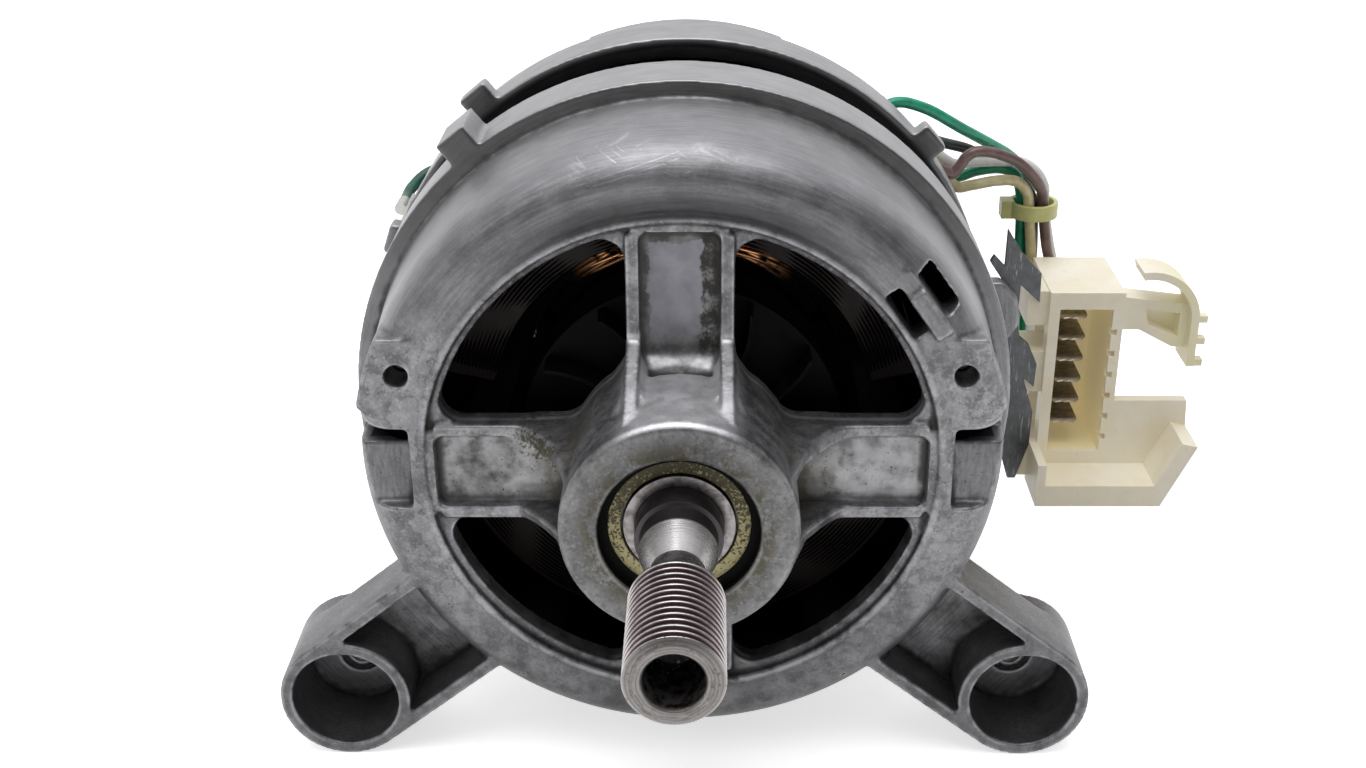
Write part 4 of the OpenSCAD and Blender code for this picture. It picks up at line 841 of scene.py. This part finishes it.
# The grooves are stained maroon by belt dust and painted darker as shade
in_groove = bar.band(bar_r, 5.6, 5.9, pulley_r - 0.28, pulley_r - 0.03)
in_groove = in_groove * bar.band(bar.y, -10.3, -10.0, 10.3, 10.6)
bar.lay(in_groove, bar.mix(smudge, (0.05, 0.024, 0.028), (0.13, 0.075, 0.078)))
# Painted shade: the bore is near-black
in_bore = bar.between(bar_r, bore_r + 0.3, bore_r + 0.05) * bar.between(bar.y, 3, 2.5)
bar.lay(in_bore * (0.8 + 0.2 * bar.between(smudge, 0.6, 0.4)), (0.016, 0.012, 0.010))
# Painted shade on the bar behind the cone, inside the hub
behind = bar.between(bar.y, 25.3, 26.2)
bar.lay(behind * 0.93, (0.035, 0.03, 0.031))
# The face of the free end is darker, with turning rings
nose_face = bar.between(bar.y, -10.3, -10.6)
ring_place = bar.add("ShaderNodeCombineXYZ", {}, {"X": bar_r * 2.4, "Y": smudge * 2.0})
face_rings = bar.between(bar.noise(1.0, 3, ring_place), 0.35, 0.65)
bar.lay(nose_face * 0.9, bar.mix(face_rings, (0.07, 0.064, 0.060), (0.21, 0.20, 0.19)))
glint = bar.between(bar.noise(1500, 3), 0.60, 0.66) * in_bore * bar.between(bar.y, -3, 0.5)
bar.lay(glint, (0.75, 0.74, 0.72))
on_cone = bar.band(bar.y, 18.6, 19.2, 25.6, 26.2)
bar.lay(on_cone * 0.8, (0.66, 0.64, 0.64))
nicks = bar.between(bar.noise(1500, 1), 0.66, 0.7) * bar.between(bar.y, -8.6, -9.6)
bar.lay(nicks * 0.7, (0.10, 0.08, 0.075))
bar.give("base_color", bar.colour)
dullness = 0.2 * in_groove + 0.4 * in_bore + 0.2 * behind + 0.15 * nose_face
bar.give("roughness", 0.16 + 0.12 * smudge + 0.1 * lathe_marks + dullness)
bar.bump(lathe_marks, 0.02 * MM)
dress(shaft, bar, "rotor", "steel", "shaft")


# Ball bearings. A sealed deep-groove bearing in each shield: ground steel rings, brass cages and
# black rubber seals. In the mouth of the front one sits a yellow passivated dust ring that old
# grease has spotted, and whose upper part is painted darker as shade.
ground = Finish("ground_steel", metallic=1.0)
ground_smudge = ground.noise(600, 4)
ground.mottle(ground.between(ground_smudge, 0.4, 0.68), (0.28, 0.268, 0.264), (0.13, 0.12, 0.113))
ground.give("roughness", 0.32 + 0.16 * ground_smudge)

rubber = Finish("seal_rubber", roughness=0.7, specular_ior_level=0.08)
rubber.mottle(rubber.noise(500, 4), (0.004, 0.004, 0.004), (0.012, 0.011, 0.010))

passivated = Finish("passivated_ring", metallic=0.35, roughness=0.5)
# Grease spots, laid more densely towards the top, where the ring is painted darker as shade
grease_and_shade = passivated.between(passivated.noise(2400, 4) + 0.011 * passivated.z, 0.47, 0.57)
ring_tone = passivated.mix(passivated.noise(260, 3), (0.36, 0.31, 0.13), (0.52, 0.47, 0.27))
passivated.mottle(grease_and_shade * 0.92, ring_tone, (0.03, 0.027, 0.012))
passivated.bump(1.0 - grease_and_shade, 0.05 * MM)


def bearing_outlines(od, bore, width, y):
    """Outlines of the outer and inner ring, each with its ball groove."""
    pitch = (od + bore) / 4
    ball_r = 0.149 * (od - bore)
    shoulder_out = pitch + 0.7 * ball_r
    shoulder_in = pitch - 0.7 * ball_r
    groove_r = ball_r + 0.05
    groove = [math.radians(a) for a in range(-44, 45, 11)]
    seat = bore / 2 + 0.03
    face = bore / 2 + 2.1
    middle = y + width / 2
    outer = [(shoulder_out, y), (od / 2, y), (od / 2, y + width), (shoulder_out, y + width)]
    outer += [(pitch + groove_r * math.cos(a), middle + groove_r * math.sin(a)) for a in groove[::-1]]
    inner = [
        (seat, y), (face, y), (face, y + 1.6), (shoulder_in, y + 1.6),
        *((pitch - groove_r * math.cos(a), middle + groove_r * math.sin(a)) for a in groove),
        (shoulder_in, y + width - 1.6), (face, y + width - 1.6), (face, y + width), (seat, y + width),
    ]
    return outer, inner


def washer_outline(r0, r1, y0, y1):
    return [(r0, y0), (r1, y0), (r1, y1), (r0, y1)]


def bearing(name, od, bore, width, y, mouth):
    """Races and seals of one bearing; mouth is the inner radius of its front seal."""
    outer, inner = bearing_outlines(od, bore, width, y)
    dress(turned(name + "_outer_race", outer, 0.25), ground, "frame", "steel", name + "_outer_ring")
    dress(turned(name + "_inner_race", inner, 0.25), ground, "rotor", "steel", name + "_inner_ring")
    rim = outer[0][0] - 0.03
    lip = bore / 2 + 2.5
    front_seal = turned(name + "_front_seal", washer_outline(mouth, rim, y + 0.2, y + 1.1), 0.2)
    rear_seal = turned(name + "_rear_seal", washer_outline(lip, rim, y + width - 1.1, y + width - 0.2), 0.2)
    dress(front_seal, rubber, "frame", "black_rubber", name + "_seals")
    dress(rear_seal, rubber, "frame", "black_rubber")


front_bearing_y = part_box("front_bearing_outer_ring")[0].y / MM
bearing("front_bearing", 35, 15, 11, front_bearing_y, 12.28)
dust_ring = turned(
    "front_bearing_dust_washer",
    washer_outline(10.0, 12.25, front_bearing_y + 0.2, front_bearing_y + 1.1),
    0.25,
)
dress(dust_ring, passivated, "frame", "olive_ring", "front_bearing_dust_ring")
rear_bearing_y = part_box("rear_bearing_outer_ring")[0].y / MM
bearing("rear_bearing", 32, 12, 10, rear_bearing_y, 8.5)
paint(ground, "steel", "front_bearing_balls", "rear_bearing_balls")
yellow_metal = Finish("brass_sheet", metallic=1.0, roughness=0.35)
yellow_metal.mottle(yellow_metal.noise(350, 3), (0.45, 0.31, 0.10), (0.62, 0.45, 0.18))
paint(yellow_metal, "brass", "front_bearing_cage", "rear_bearing_cage")


# Cooling fan. A black moulded disc on the shaft behind the spokes, with thirteen blades on its
# front; it draws air in through the windows, and it is mottled with dust.
ring_of = Recipe("Shape repeated round the shaft")
ring_count = ring_of.ask("Count", "Int")
ring_spots = ring_of.add("GeometryNodeMeshLine", {}, {"Count": ring_count, "Offset": (0, 0, 0)})
ring_index = ring_of.add("GeometryNodeInputIndex")
ring_angle = ring_of.add(
    "ShaderNodeCombineXYZ", {}, {"Y": ring_index * (2 * math.pi) / ring_count}
)
ring_copies = ring_of.add(
    "GeometryNodeInstanceOnPoints",
    {},
    {"Points": ring_spots, "Instance": ring_of.shape, "Rotation": ring_angle},
)
ring_of.serve(ring_copies)

moulding = Finish("black_moulding", specular_ior_level=0.06)
moulding_dust = moulding.between(moulding.noise(240, 4), 0.5, 0.75)
moulding.mottle(moulding_dust, (0.004, 0.004, 0.0042), (0.010, 0.0095, 0.009))
moulding.give("roughness", 0.5 + 0.25 * moulding_dust)

fan_lo, fan_hi = (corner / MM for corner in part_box("cooling_fan"))
fan_r = fan_hi.z
fan_bore_r = 7.53
fan_hub_r = 11.5
fan_disc_t = 1.8
blade_half = 0.6
blade_tip_half = 0.36
blade_foot_y = fan_hi.y - fan_disc_t / 2
blade_sections = []
for step in range(9):
    share = step / 8
    reach = fan_hub_r - 0.5 + share * (fan_r - 11.6)
    sweep = 0.16 * share ** 2
    out = reach * math.cos(sweep)
    across = reach * math.sin(sweep)
    blade_sections.append([
        (out, fan_lo.y, across - blade_tip_half), (out, fan_lo.y, across + blade_tip_half),
        (out, blade_foot_y, across + blade_half), (out, blade_foot_y, across - blade_half),
    ])
fan_blade = bmesh.new()
loft(fan_blade, blade_sections)
fan_blades = ring_of.make("cooling_fan_blades", mesh_of("fan_blade", fan_blade), moulding, count=13)
dress(fan_blades, moulding, "rotor", "black_plastic", "cooling_fan")
fan_disc = turned(
    "cooling_fan_disc",
    [
        (fan_bore_r, fan_lo.y), (fan_hub_r, fan_lo.y), (fan_hub_r, fan_hi.y - fan_disc_t),
        (fan_r, fan_hi.y - fan_disc_t), (fan_r, fan_hi.y), (fan_bore_r, fan_hi.y),
    ],
    0.5,
)
dress(fan_disc, moulding, "rotor", "black_plastic")


# Commutator. Copper bars on a brown moulded hub behind the armature, worn bright where the
# brushes run; the CAD solids stay, as they are hidden in the rear shield.
track = Finish("commutator_copper", metallic=1.0, roughness=0.3)
track_mark = track.noise(1.0, 2, track.stretched((40, 2600, 40)))
track.mottle(track_mark, (0.30, 0.13, 0.07), (0.66, 0.33, 0.19))
paint(track, "copper", "commutator_bars")
resin = Finish("brown_resin", roughness=0.5)
resin.mottle(resin.noise(200, 3), (0.035, 0.014, 0.009), (0.07, 0.03, 0.02))
paint(resin, "black_plastic", "commutator_hub")


# Rear shield. The second die casting, with the ring that grips the stator, ears, a boss for the
# connector and a vented bell over the brushes; the same metal and painted shade as the front one.
rear_shield = casting("rear_shield_casting", "rear_shield", 0.6 * MM, 3, 150000)
dress(rear_shield, cast, "frame", "cast_aluminium", "rear_shield")


# Tacho. A ring magnet on the tail of the shaft inside a small coil, under a black moulded cap
# that closes the rear end.
cap_lo, cap_hi = (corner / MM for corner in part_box("tacho_cap"))
cap_r = cap_hi.x
cap_bore_r = 17.03
cap_t = 1.8
tacho_cap = turned(
    "tacho_cover",
    [
        (cap_bore_r, cap_lo.y), (cap_r, cap_lo.y), (cap_r, cap_hi.y), (0, cap_hi.y),
        (0, cap_hi.y - cap_t), (cap_bore_r, cap_hi.y - cap_t),
    ],
    0.6,
)
dress(tacho_cap, moulding, "frame", "black_plastic", "tacho_cap")
ferrite = Finish("ferrite", metallic=0.3, roughness=0.5)
ferrite.mottle(ferrite.noise(300, 3), (0.02, 0.02, 0.022), (0.05, 0.05, 0.052))
paint(ferrite, "dark_steel", "tacho_magnet")
paint(shaded_copper, "copper", "tacho_coil")


# Brush gear. On each side a black holder screwed to the rear shield with a brass guide, a
# carbon brush that slides in it and a coil spring that presses the brush on the commutator.
def softened(name, node, width):
    """A copy of a CAD node with its edges rounded off by that width."""
    piece = merged_copy(name, node)
    shape = bmesh.new()
    shape.from_mesh(piece.data)
    bmesh.ops.dissolve_limit(
        shape,
        angle_limit=math.radians(1.0),
        verts=shape.verts,
        edges=shape.edges,
        use_dissolve_boundaries=False,
    )
    shape.to_mesh(piece.data)
    shape.free()
    round_off = piece.modifiers.new("round", "BEVEL")
    round_off.width = width
    round_off.segments = 2
    round_off.limit_method = "ANGLE"
    round_off.angle_limit = math.radians(38)
    piece.data.shade_smooth()
    piece.modifiers.new("flat", "WEIGHTED_NORMAL")
    return settle(piece)


graphite = Finish("graphite", roughness=0.45)
graphite.mottle(graphite.noise(700, 3), (0.012, 0.012, 0.013), (0.04, 0.04, 0.042))
spring_steel = Finish("spring_steel", metallic=1.0, roughness=0.28)
spring_steel.mottle(spring_steel.noise(900, 2), (0.42, 0.41, 0.40), (0.62, 0.61, 0.60))
spring_turns = 8
spring_wire_r = 0.35
for side, sign in (("left", -1), ("right", 1)):
    holder = softened("brush_holder_" + side + "_moulding", "brush_holder_" + side, 0.3 * MM)
    dress(holder, moulding, "frame", "black_plastic", "brush_holder_" + side)
    paint(yellow_metal, "brass", "brush_guide_" + side)
    paint(graphite, "carbon", "carbon_brush_" + side)
    spring_lo, spring_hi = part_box("brush_spring_" + side)
    middle = (spring_lo + spring_hi) / 2 / MM
    coil_radius = (spring_hi.z - spring_lo.z) / 2 / MM - spring_wire_r
    span = (spring_hi.x - spring_lo.x) / MM - 2 * spring_wire_r
    helix = []
    for step in range(spring_turns * 12 + 1):
        share = step / (spring_turns * 12)
        angle = 2 * math.pi * spring_turns * share
        helix.append((
            middle.x + sign * (share - 0.5) * span,
            middle.y + coil_radius * math.cos(angle),
            middle.z + coil_radius * math.sin(angle),
        ))
    spring = strand.make(
        "brush_spring_" + side + "_wire",
        routes_mesh("spring_line", [helix]),
        spring_steel,
        radius=spring_wire_r * MM,
        sides=8,
        steps=3,
    )
    spring.data.shade_smooth()
    dress(spring, spring_steel, "frame", "steel", "brush_spring_" + side)
    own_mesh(spring)


# Screws. Four long clamp screws pull the shields together on the stator, and four short ones
# hold the brush holders; zinc-plated steel with slotted heads.
zinc = Finish("zinc_plate", metallic=1.0)
zinc_wear = zinc.noise(500, 4)
zinc.mottle(zinc_wear, (0.42, 0.42, 0.40), (0.66, 0.65, 0.62))
zinc.give("roughness", 0.3 + 0.2 * zinc_wear)
for name in ("clamp_screws", "brush_screws"):
    screws = softened(name + "_plated", name, 0.25 * MM)
    dress(screws, zinc, "frame", "steel", name)


# Connector. A cream six-way housing with a latch arm and a trough, moulded in one; it hangs on
# the rear ring by a jagged clip of spring steel, and six tinned blades stand in its socket.
cream = Finish("cream_moulding", roughness=0.42, subsurface_weight=0.12, subsurface_scale=0.002)
cream_cloud = cream.noise(90, 4)
cream.colour = cream.mix(cream.between(cream_cloud, 0.35, 0.65), (0.72, 0.66, 0.52), (0.77, 0.73, 0.62))
socket_mouth_y = 120.6
in_socket = cream.band(cream.x, 80.0, 80.2, 91.7, 91.9) * cream.band(cream.z, -29.5, -29.3, 4.9, 5.1)
in_socket = in_socket * cream.between(cream.y, socket_mouth_y, socket_mouth_y + 1.5)
cream.lay(in_socket * 0.9, (0.72, 0.63, 0.38))
in_hook = cream.between(cream.x, 99, 105) * cream.between(cream.z, -12, -6)
cream.lay(in_hook * 0.5, (0.70, 0.68, 0.38))
cream.lay(cream.between(cream.noise(500, 4), 0.62, 0.74) * 0.25, (0.40, 0.33, 0.20))
cream.give("base_color", cream.colour)
# Painted glow: the housing gives off a faint light of its own, stronger in the socket
cream.give("emission_color", cream.mix(in_socket, (0.08, 0.070, 0.046), (0.15, 0.125, 0.07)))
cream.give("emission_strength", 1.0)
housing = softened("connector_housing_moulding", "connector_housing", 0.22 * MM)
dress(housing, cream, "frame", "cream_plastic", "connector_housing")

clip_steel = Finish("clip_steel", metallic=0.9)
clip_smudge = clip_steel.noise(380, 4)
# Painted highlights: pale streaks along the clip
clip_highlight_lines = clip_steel.noise(1.0, 2, clip_steel.stretched((2400, 60, 260)))
clip_highlight_lines = clip_steel.between(clip_highlight_lines, 0.6, 0.72)
clip_colour = clip_steel.mix(clip_smudge, (0.035, 0.036, 0.038), (0.13, 0.133, 0.137))
clip_steel.mottle(clip_highlight_lines * 0.4, clip_colour, (0.45, 0.45, 0.46))
clip_steel.give("roughness", 0.34 + 0.2 * clip_smudge)
clip = softened("connector_clip_sheet", "connector_clip", 0.12 * MM)
dress(clip, clip_steel, "frame", "dark_steel", "connector_clip")

row_of = Recipe("Shape repeated in a row")
row_count = row_of.ask("Count", "Int")
row_step = row_of.ask("Step", "Vector")
row_spots = row_of.add("GeometryNodeMeshLine", {}, {"Count": row_count, "Offset": row_step})
row_copies = row_of.add(
    "GeometryNodeInstanceOnPoints", {}, {"Points": row_spots, "Instance": row_of.shape}
)
row_of.serve(row_copies)

tin = Finish("tinned_brass", metallic=0.75)
tin_smudge = tin.noise(420, 4)
tin_front = tin.between(tin.y, 125.2, 123.6)
tin_colour = tin.mix(tin.between(tin_smudge, 0.35, 0.65), (0.15, 0.125, 0.10), (0.32, 0.28, 0.24))
tin.mottle(tin_front * 0.75, tin_colour, (0.58, 0.53, 0.46))
tin.give("roughness", 0.36 + 0.2 * tin_smudge)

blade_lo, blade_hi = (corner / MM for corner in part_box("connector_blades"))
blade_t = 0.8
blade_pitch = 5.0
blade_count = round((blade_hi.z - blade_lo.z - blade_t) / blade_pitch) + 1
notch = 0.45
shoulder = 1.4
blade_plan = [
    (blade_lo.x + 1.0, blade_lo.y),
    (blade_lo.x + 2.3, blade_lo.y + notch),
    (blade_lo.x + 3.15, blade_lo.y),
    (blade_lo.x + 4.2, blade_lo.y + notch),
    (blade_hi.x - 1.0, blade_lo.y),
    (blade_hi.x, blade_lo.y + shoulder),
    (blade_hi.x, blade_hi.y),
    (blade_lo.x, blade_hi.y),
    (blade_lo.x, blade_lo.y + shoulder),
]
blade_levels = []
for rise, setback in ((0.0, 0.5), (0.22, 0.0), (0.58, 0.0), (blade_t, 0.5)):
    z = blade_hi.z - blade_t + rise
    blade_levels.append([(x, min(y + setback, blade_hi.y), z) for x, y in blade_plan])
terminal = bmesh.new()
loft(terminal, blade_levels)
blades = row_of.make(
    "connector_blade_row",
    mesh_of("terminal_blade", terminal),
    tin,
    count=blade_count,
    step=(0, 0, -blade_pitch * MM),
)
dress(blades, tin, "frame", "tinned_blade", "connector_blades")


# Cable tie. A pale yellow-green nylon strap drawn tight round the six leads, with its lock head
# on the left.
nylon = Finish("tie_nylon", roughness=0.38, subsurface_weight=0.25, subsurface_scale=0.002)
nylon.mottle(nylon.noise(300, 3), (0.46, 0.47, 0.15), (0.60, 0.60, 0.28))
tie = softened("cable_tie_strap", "cable_tie", 0.25 * MM)
dress(tie, nylon, "frame", "pale_green_plastic", "cable_tie")


# Leads. Six insulated leads run from the rear shield through the tie to the back of the
# connector; each is drawn along the route of its CAD solid.
ring_edge = Vector((63.93, 117.3, 0))
lead_r = 1.2
lead_routes = {
    "green_lead_long": [
        (-26.43, 17.2, 40), (-20.53, 17.7, 45.8), (-13.33, 19.2, 44.5), (-4.23, 22.2, 39),
        (2.87, 27, 34.2), (8.07, 31.7, 30.2), (12.47, 33.5, 25.8), (13.47, 33, 23),
        (13.37, 32.2, 20.9), (13.27, 31.9, 19), (13.67, 32.7, 10), (14.67, 33.7, -3),
        (14.67, 33.7, -16), (16.07, 32.7, -20.5), (19.27, 29.2, -23), (20.07, 27, -23.4),
        (20.07, 25, -23.4),
    ],
    "brown_lead": [
        (-18.93, 19.7, 34.2), (-12.53, 20.2, 33), (-8.33, 20.5, 30.4), (-6.13, 20.7, 29.4),
        (-4.63, 20.9, 31), (-3.33, 21.1, 33), (-0.93, 21.4, 34.2), (3.47, 22.2, 33.5),
        (8.77, 23.7, 30.9), (12.87, 25, 26.8), (14.97, 26.1, 23.2), (15.67, 26.9, 19),
        (17.07, 27.3, 11), (18.57, 27.9, 6), (19.77, 27.9, 2.8), (20.07, 26.9, 1.6), (20.07, 25, 1.6),
    ],
    "green_lead_short": [
        (-18.93, 27.2, 33), (-12.73, 27.3, 32), (-7.93, 27.3, 29.4), (-4.43, 27, 26.8),
        (0.27, 27.5, 28), (5.37, 28.3, 28.3), (9.07, 29, 26.7), (10.37, 28.3, 23.3), (10.97, 28.7, 19),
        (11.57, 29.7, 10), (12.27, 30.9, -1), (12.27, 30.9, -12), (14.07, 30.2, -16.6),
        (18.67, 28.3, -18.2), (20.07, 26.9, -18.4), (20.07, 25, -18.4),
    ],
    "yellow_lead": [
        (-18.93, 23.7, 32), (-12.33, 23.7, 32.2), (-7.93, 23.9, 29.2), (-4.73, 23.7, 25.6),
        (-1.33, 23.7, 25.9), (4.17, 24.1, 26.8), (8.67, 25.1, 26.3), (11.47, 25.9, 23.5),
        (12.37, 26.3, 19), (13.67, 27.1, 10), (14.57, 27.7, 3), (16.57, 28.1, -1.4),
        (19.07, 27.7, -3.1), (20.07, 26.9, -3.4), (20.07, 25, -3.4),
    ],
    "white_lead": [
        (-18.93, 24.2, 37), (-13.43, 24.7, 35.8), (-8.43, 25, 32.2), (-4.93, 25.2, 30.2),
        (-1.23, 25.7, 30.6), (5.07, 26.4, 30.6), (9.67, 27.7, 30), (13.47, 28.7, 27.6),
        (15.87, 29.6, 23.6), (16.27, 29.7, 19), (18.07, 30.7, 11), (20.57, 31.3, 1), (20.67, 31.1, -8),
        (20.37, 29.1, -12.6), (20.07, 27.1, -13.4), (20.07, 25, -13.4),
    ],
    "black_lead": [
        (-18.93, 30.2, 36), (-13.43, 30.2, 35.6), (-7.73, 30.1, 33.8), (-1.43, 30.5, 32),
        (4.67, 31.1, 28.8), (8.67, 31.5, 26.4), (11.87, 30.7, 23.6), (13.47, 29.4, 20.8),
        (13.67, 28.9, 19), (14.47, 29.7, 10), (15.07, 30.7, 0), (16.57, 30.1, -5.6), (19.07, 28.3, -8),
        (20.07, 27, -8.4), (20.07, 25, -8.4),
    ],
}


def insulation(name, low, high):
    """Soft plastic that is mottled between two shades."""
    finish = Finish(name, roughness=0.36, coat_weight=0.15, coat_roughness=0.3)
    finish.mottle(finish.between(finish.noise(260, 4), 0.35, 0.7), low, high)
    return finish


def draw_lead(name, start, route, finish, slot):
    """A round lead along a route in mm that is measured from its start."""
    line = routes_mesh("lead_line", [[Vector(point) + start for point in route]])
    lead = strand.make(name + "_sleeve", line, finish, radius=lead_r * MM, sides=16, steps=10)
    lead.data.shade_smooth()
    lead.data.set_sharp_from_angle(angle=math.radians(60))
    dress(lead, finish, "frame", slot, name)


sleeves = {
    "green": insulation("green_sleeve", (0.0, 0.22, 0.115), (0.008, 0.36, 0.20)),
    "brown": insulation("brown_sleeve", (0.115, 0.065, 0.058), (0.20, 0.125, 0.115)),
    "yellow": insulation("yellow_sleeve", (0.58, 0.50, 0.25), (0.74, 0.68, 0.42)),
    "white": insulation("white_sleeve", (0.66, 0.65, 0.62), (0.80, 0.80, 0.78)),
    "black": insulation("black_sleeve", (0.010, 0.010, 0.010), (0.03, 0.03, 0.03)),
}
for name, route in lead_routes.items():
    shade_name = name.split("_")[0]
    draw_lead(name, ring_edge, route, sleeves[shade_name], shade_name + "_insulation")


# Earth lead. A crimped steel tag on a flat of the rear ring at the left, with the end of a green
# lead in its barrel that runs back into the shield.
tag = softened("earth_tag_crimp", "earth_tag", 0.12 * MM)
dress(tag, zinc, "frame", "steel", "earth_tag")
tag_r = 65.53
tag_angle = math.radians(154.5)
tag_place = Vector((tag_r * math.cos(tag_angle), ring_edge.y, tag_r * math.sin(tag_angle)))
earth_route = [
    (0, 6, 0), (0, 9.2, 0), (0.57, 13.3, 0.87), (3.52, 17.9, 2.62), (9.39, 21.3, 3.49),
    (15.73, 22.7, 2.19),
]
dusty_green = insulation("dusty_green_sleeve", (0.0, 0.05, 0.03), (0.003, 0.11, 0.065))
draw_lead("earth_lead", tag_place, earth_route, dusty_green, "green_insulation")
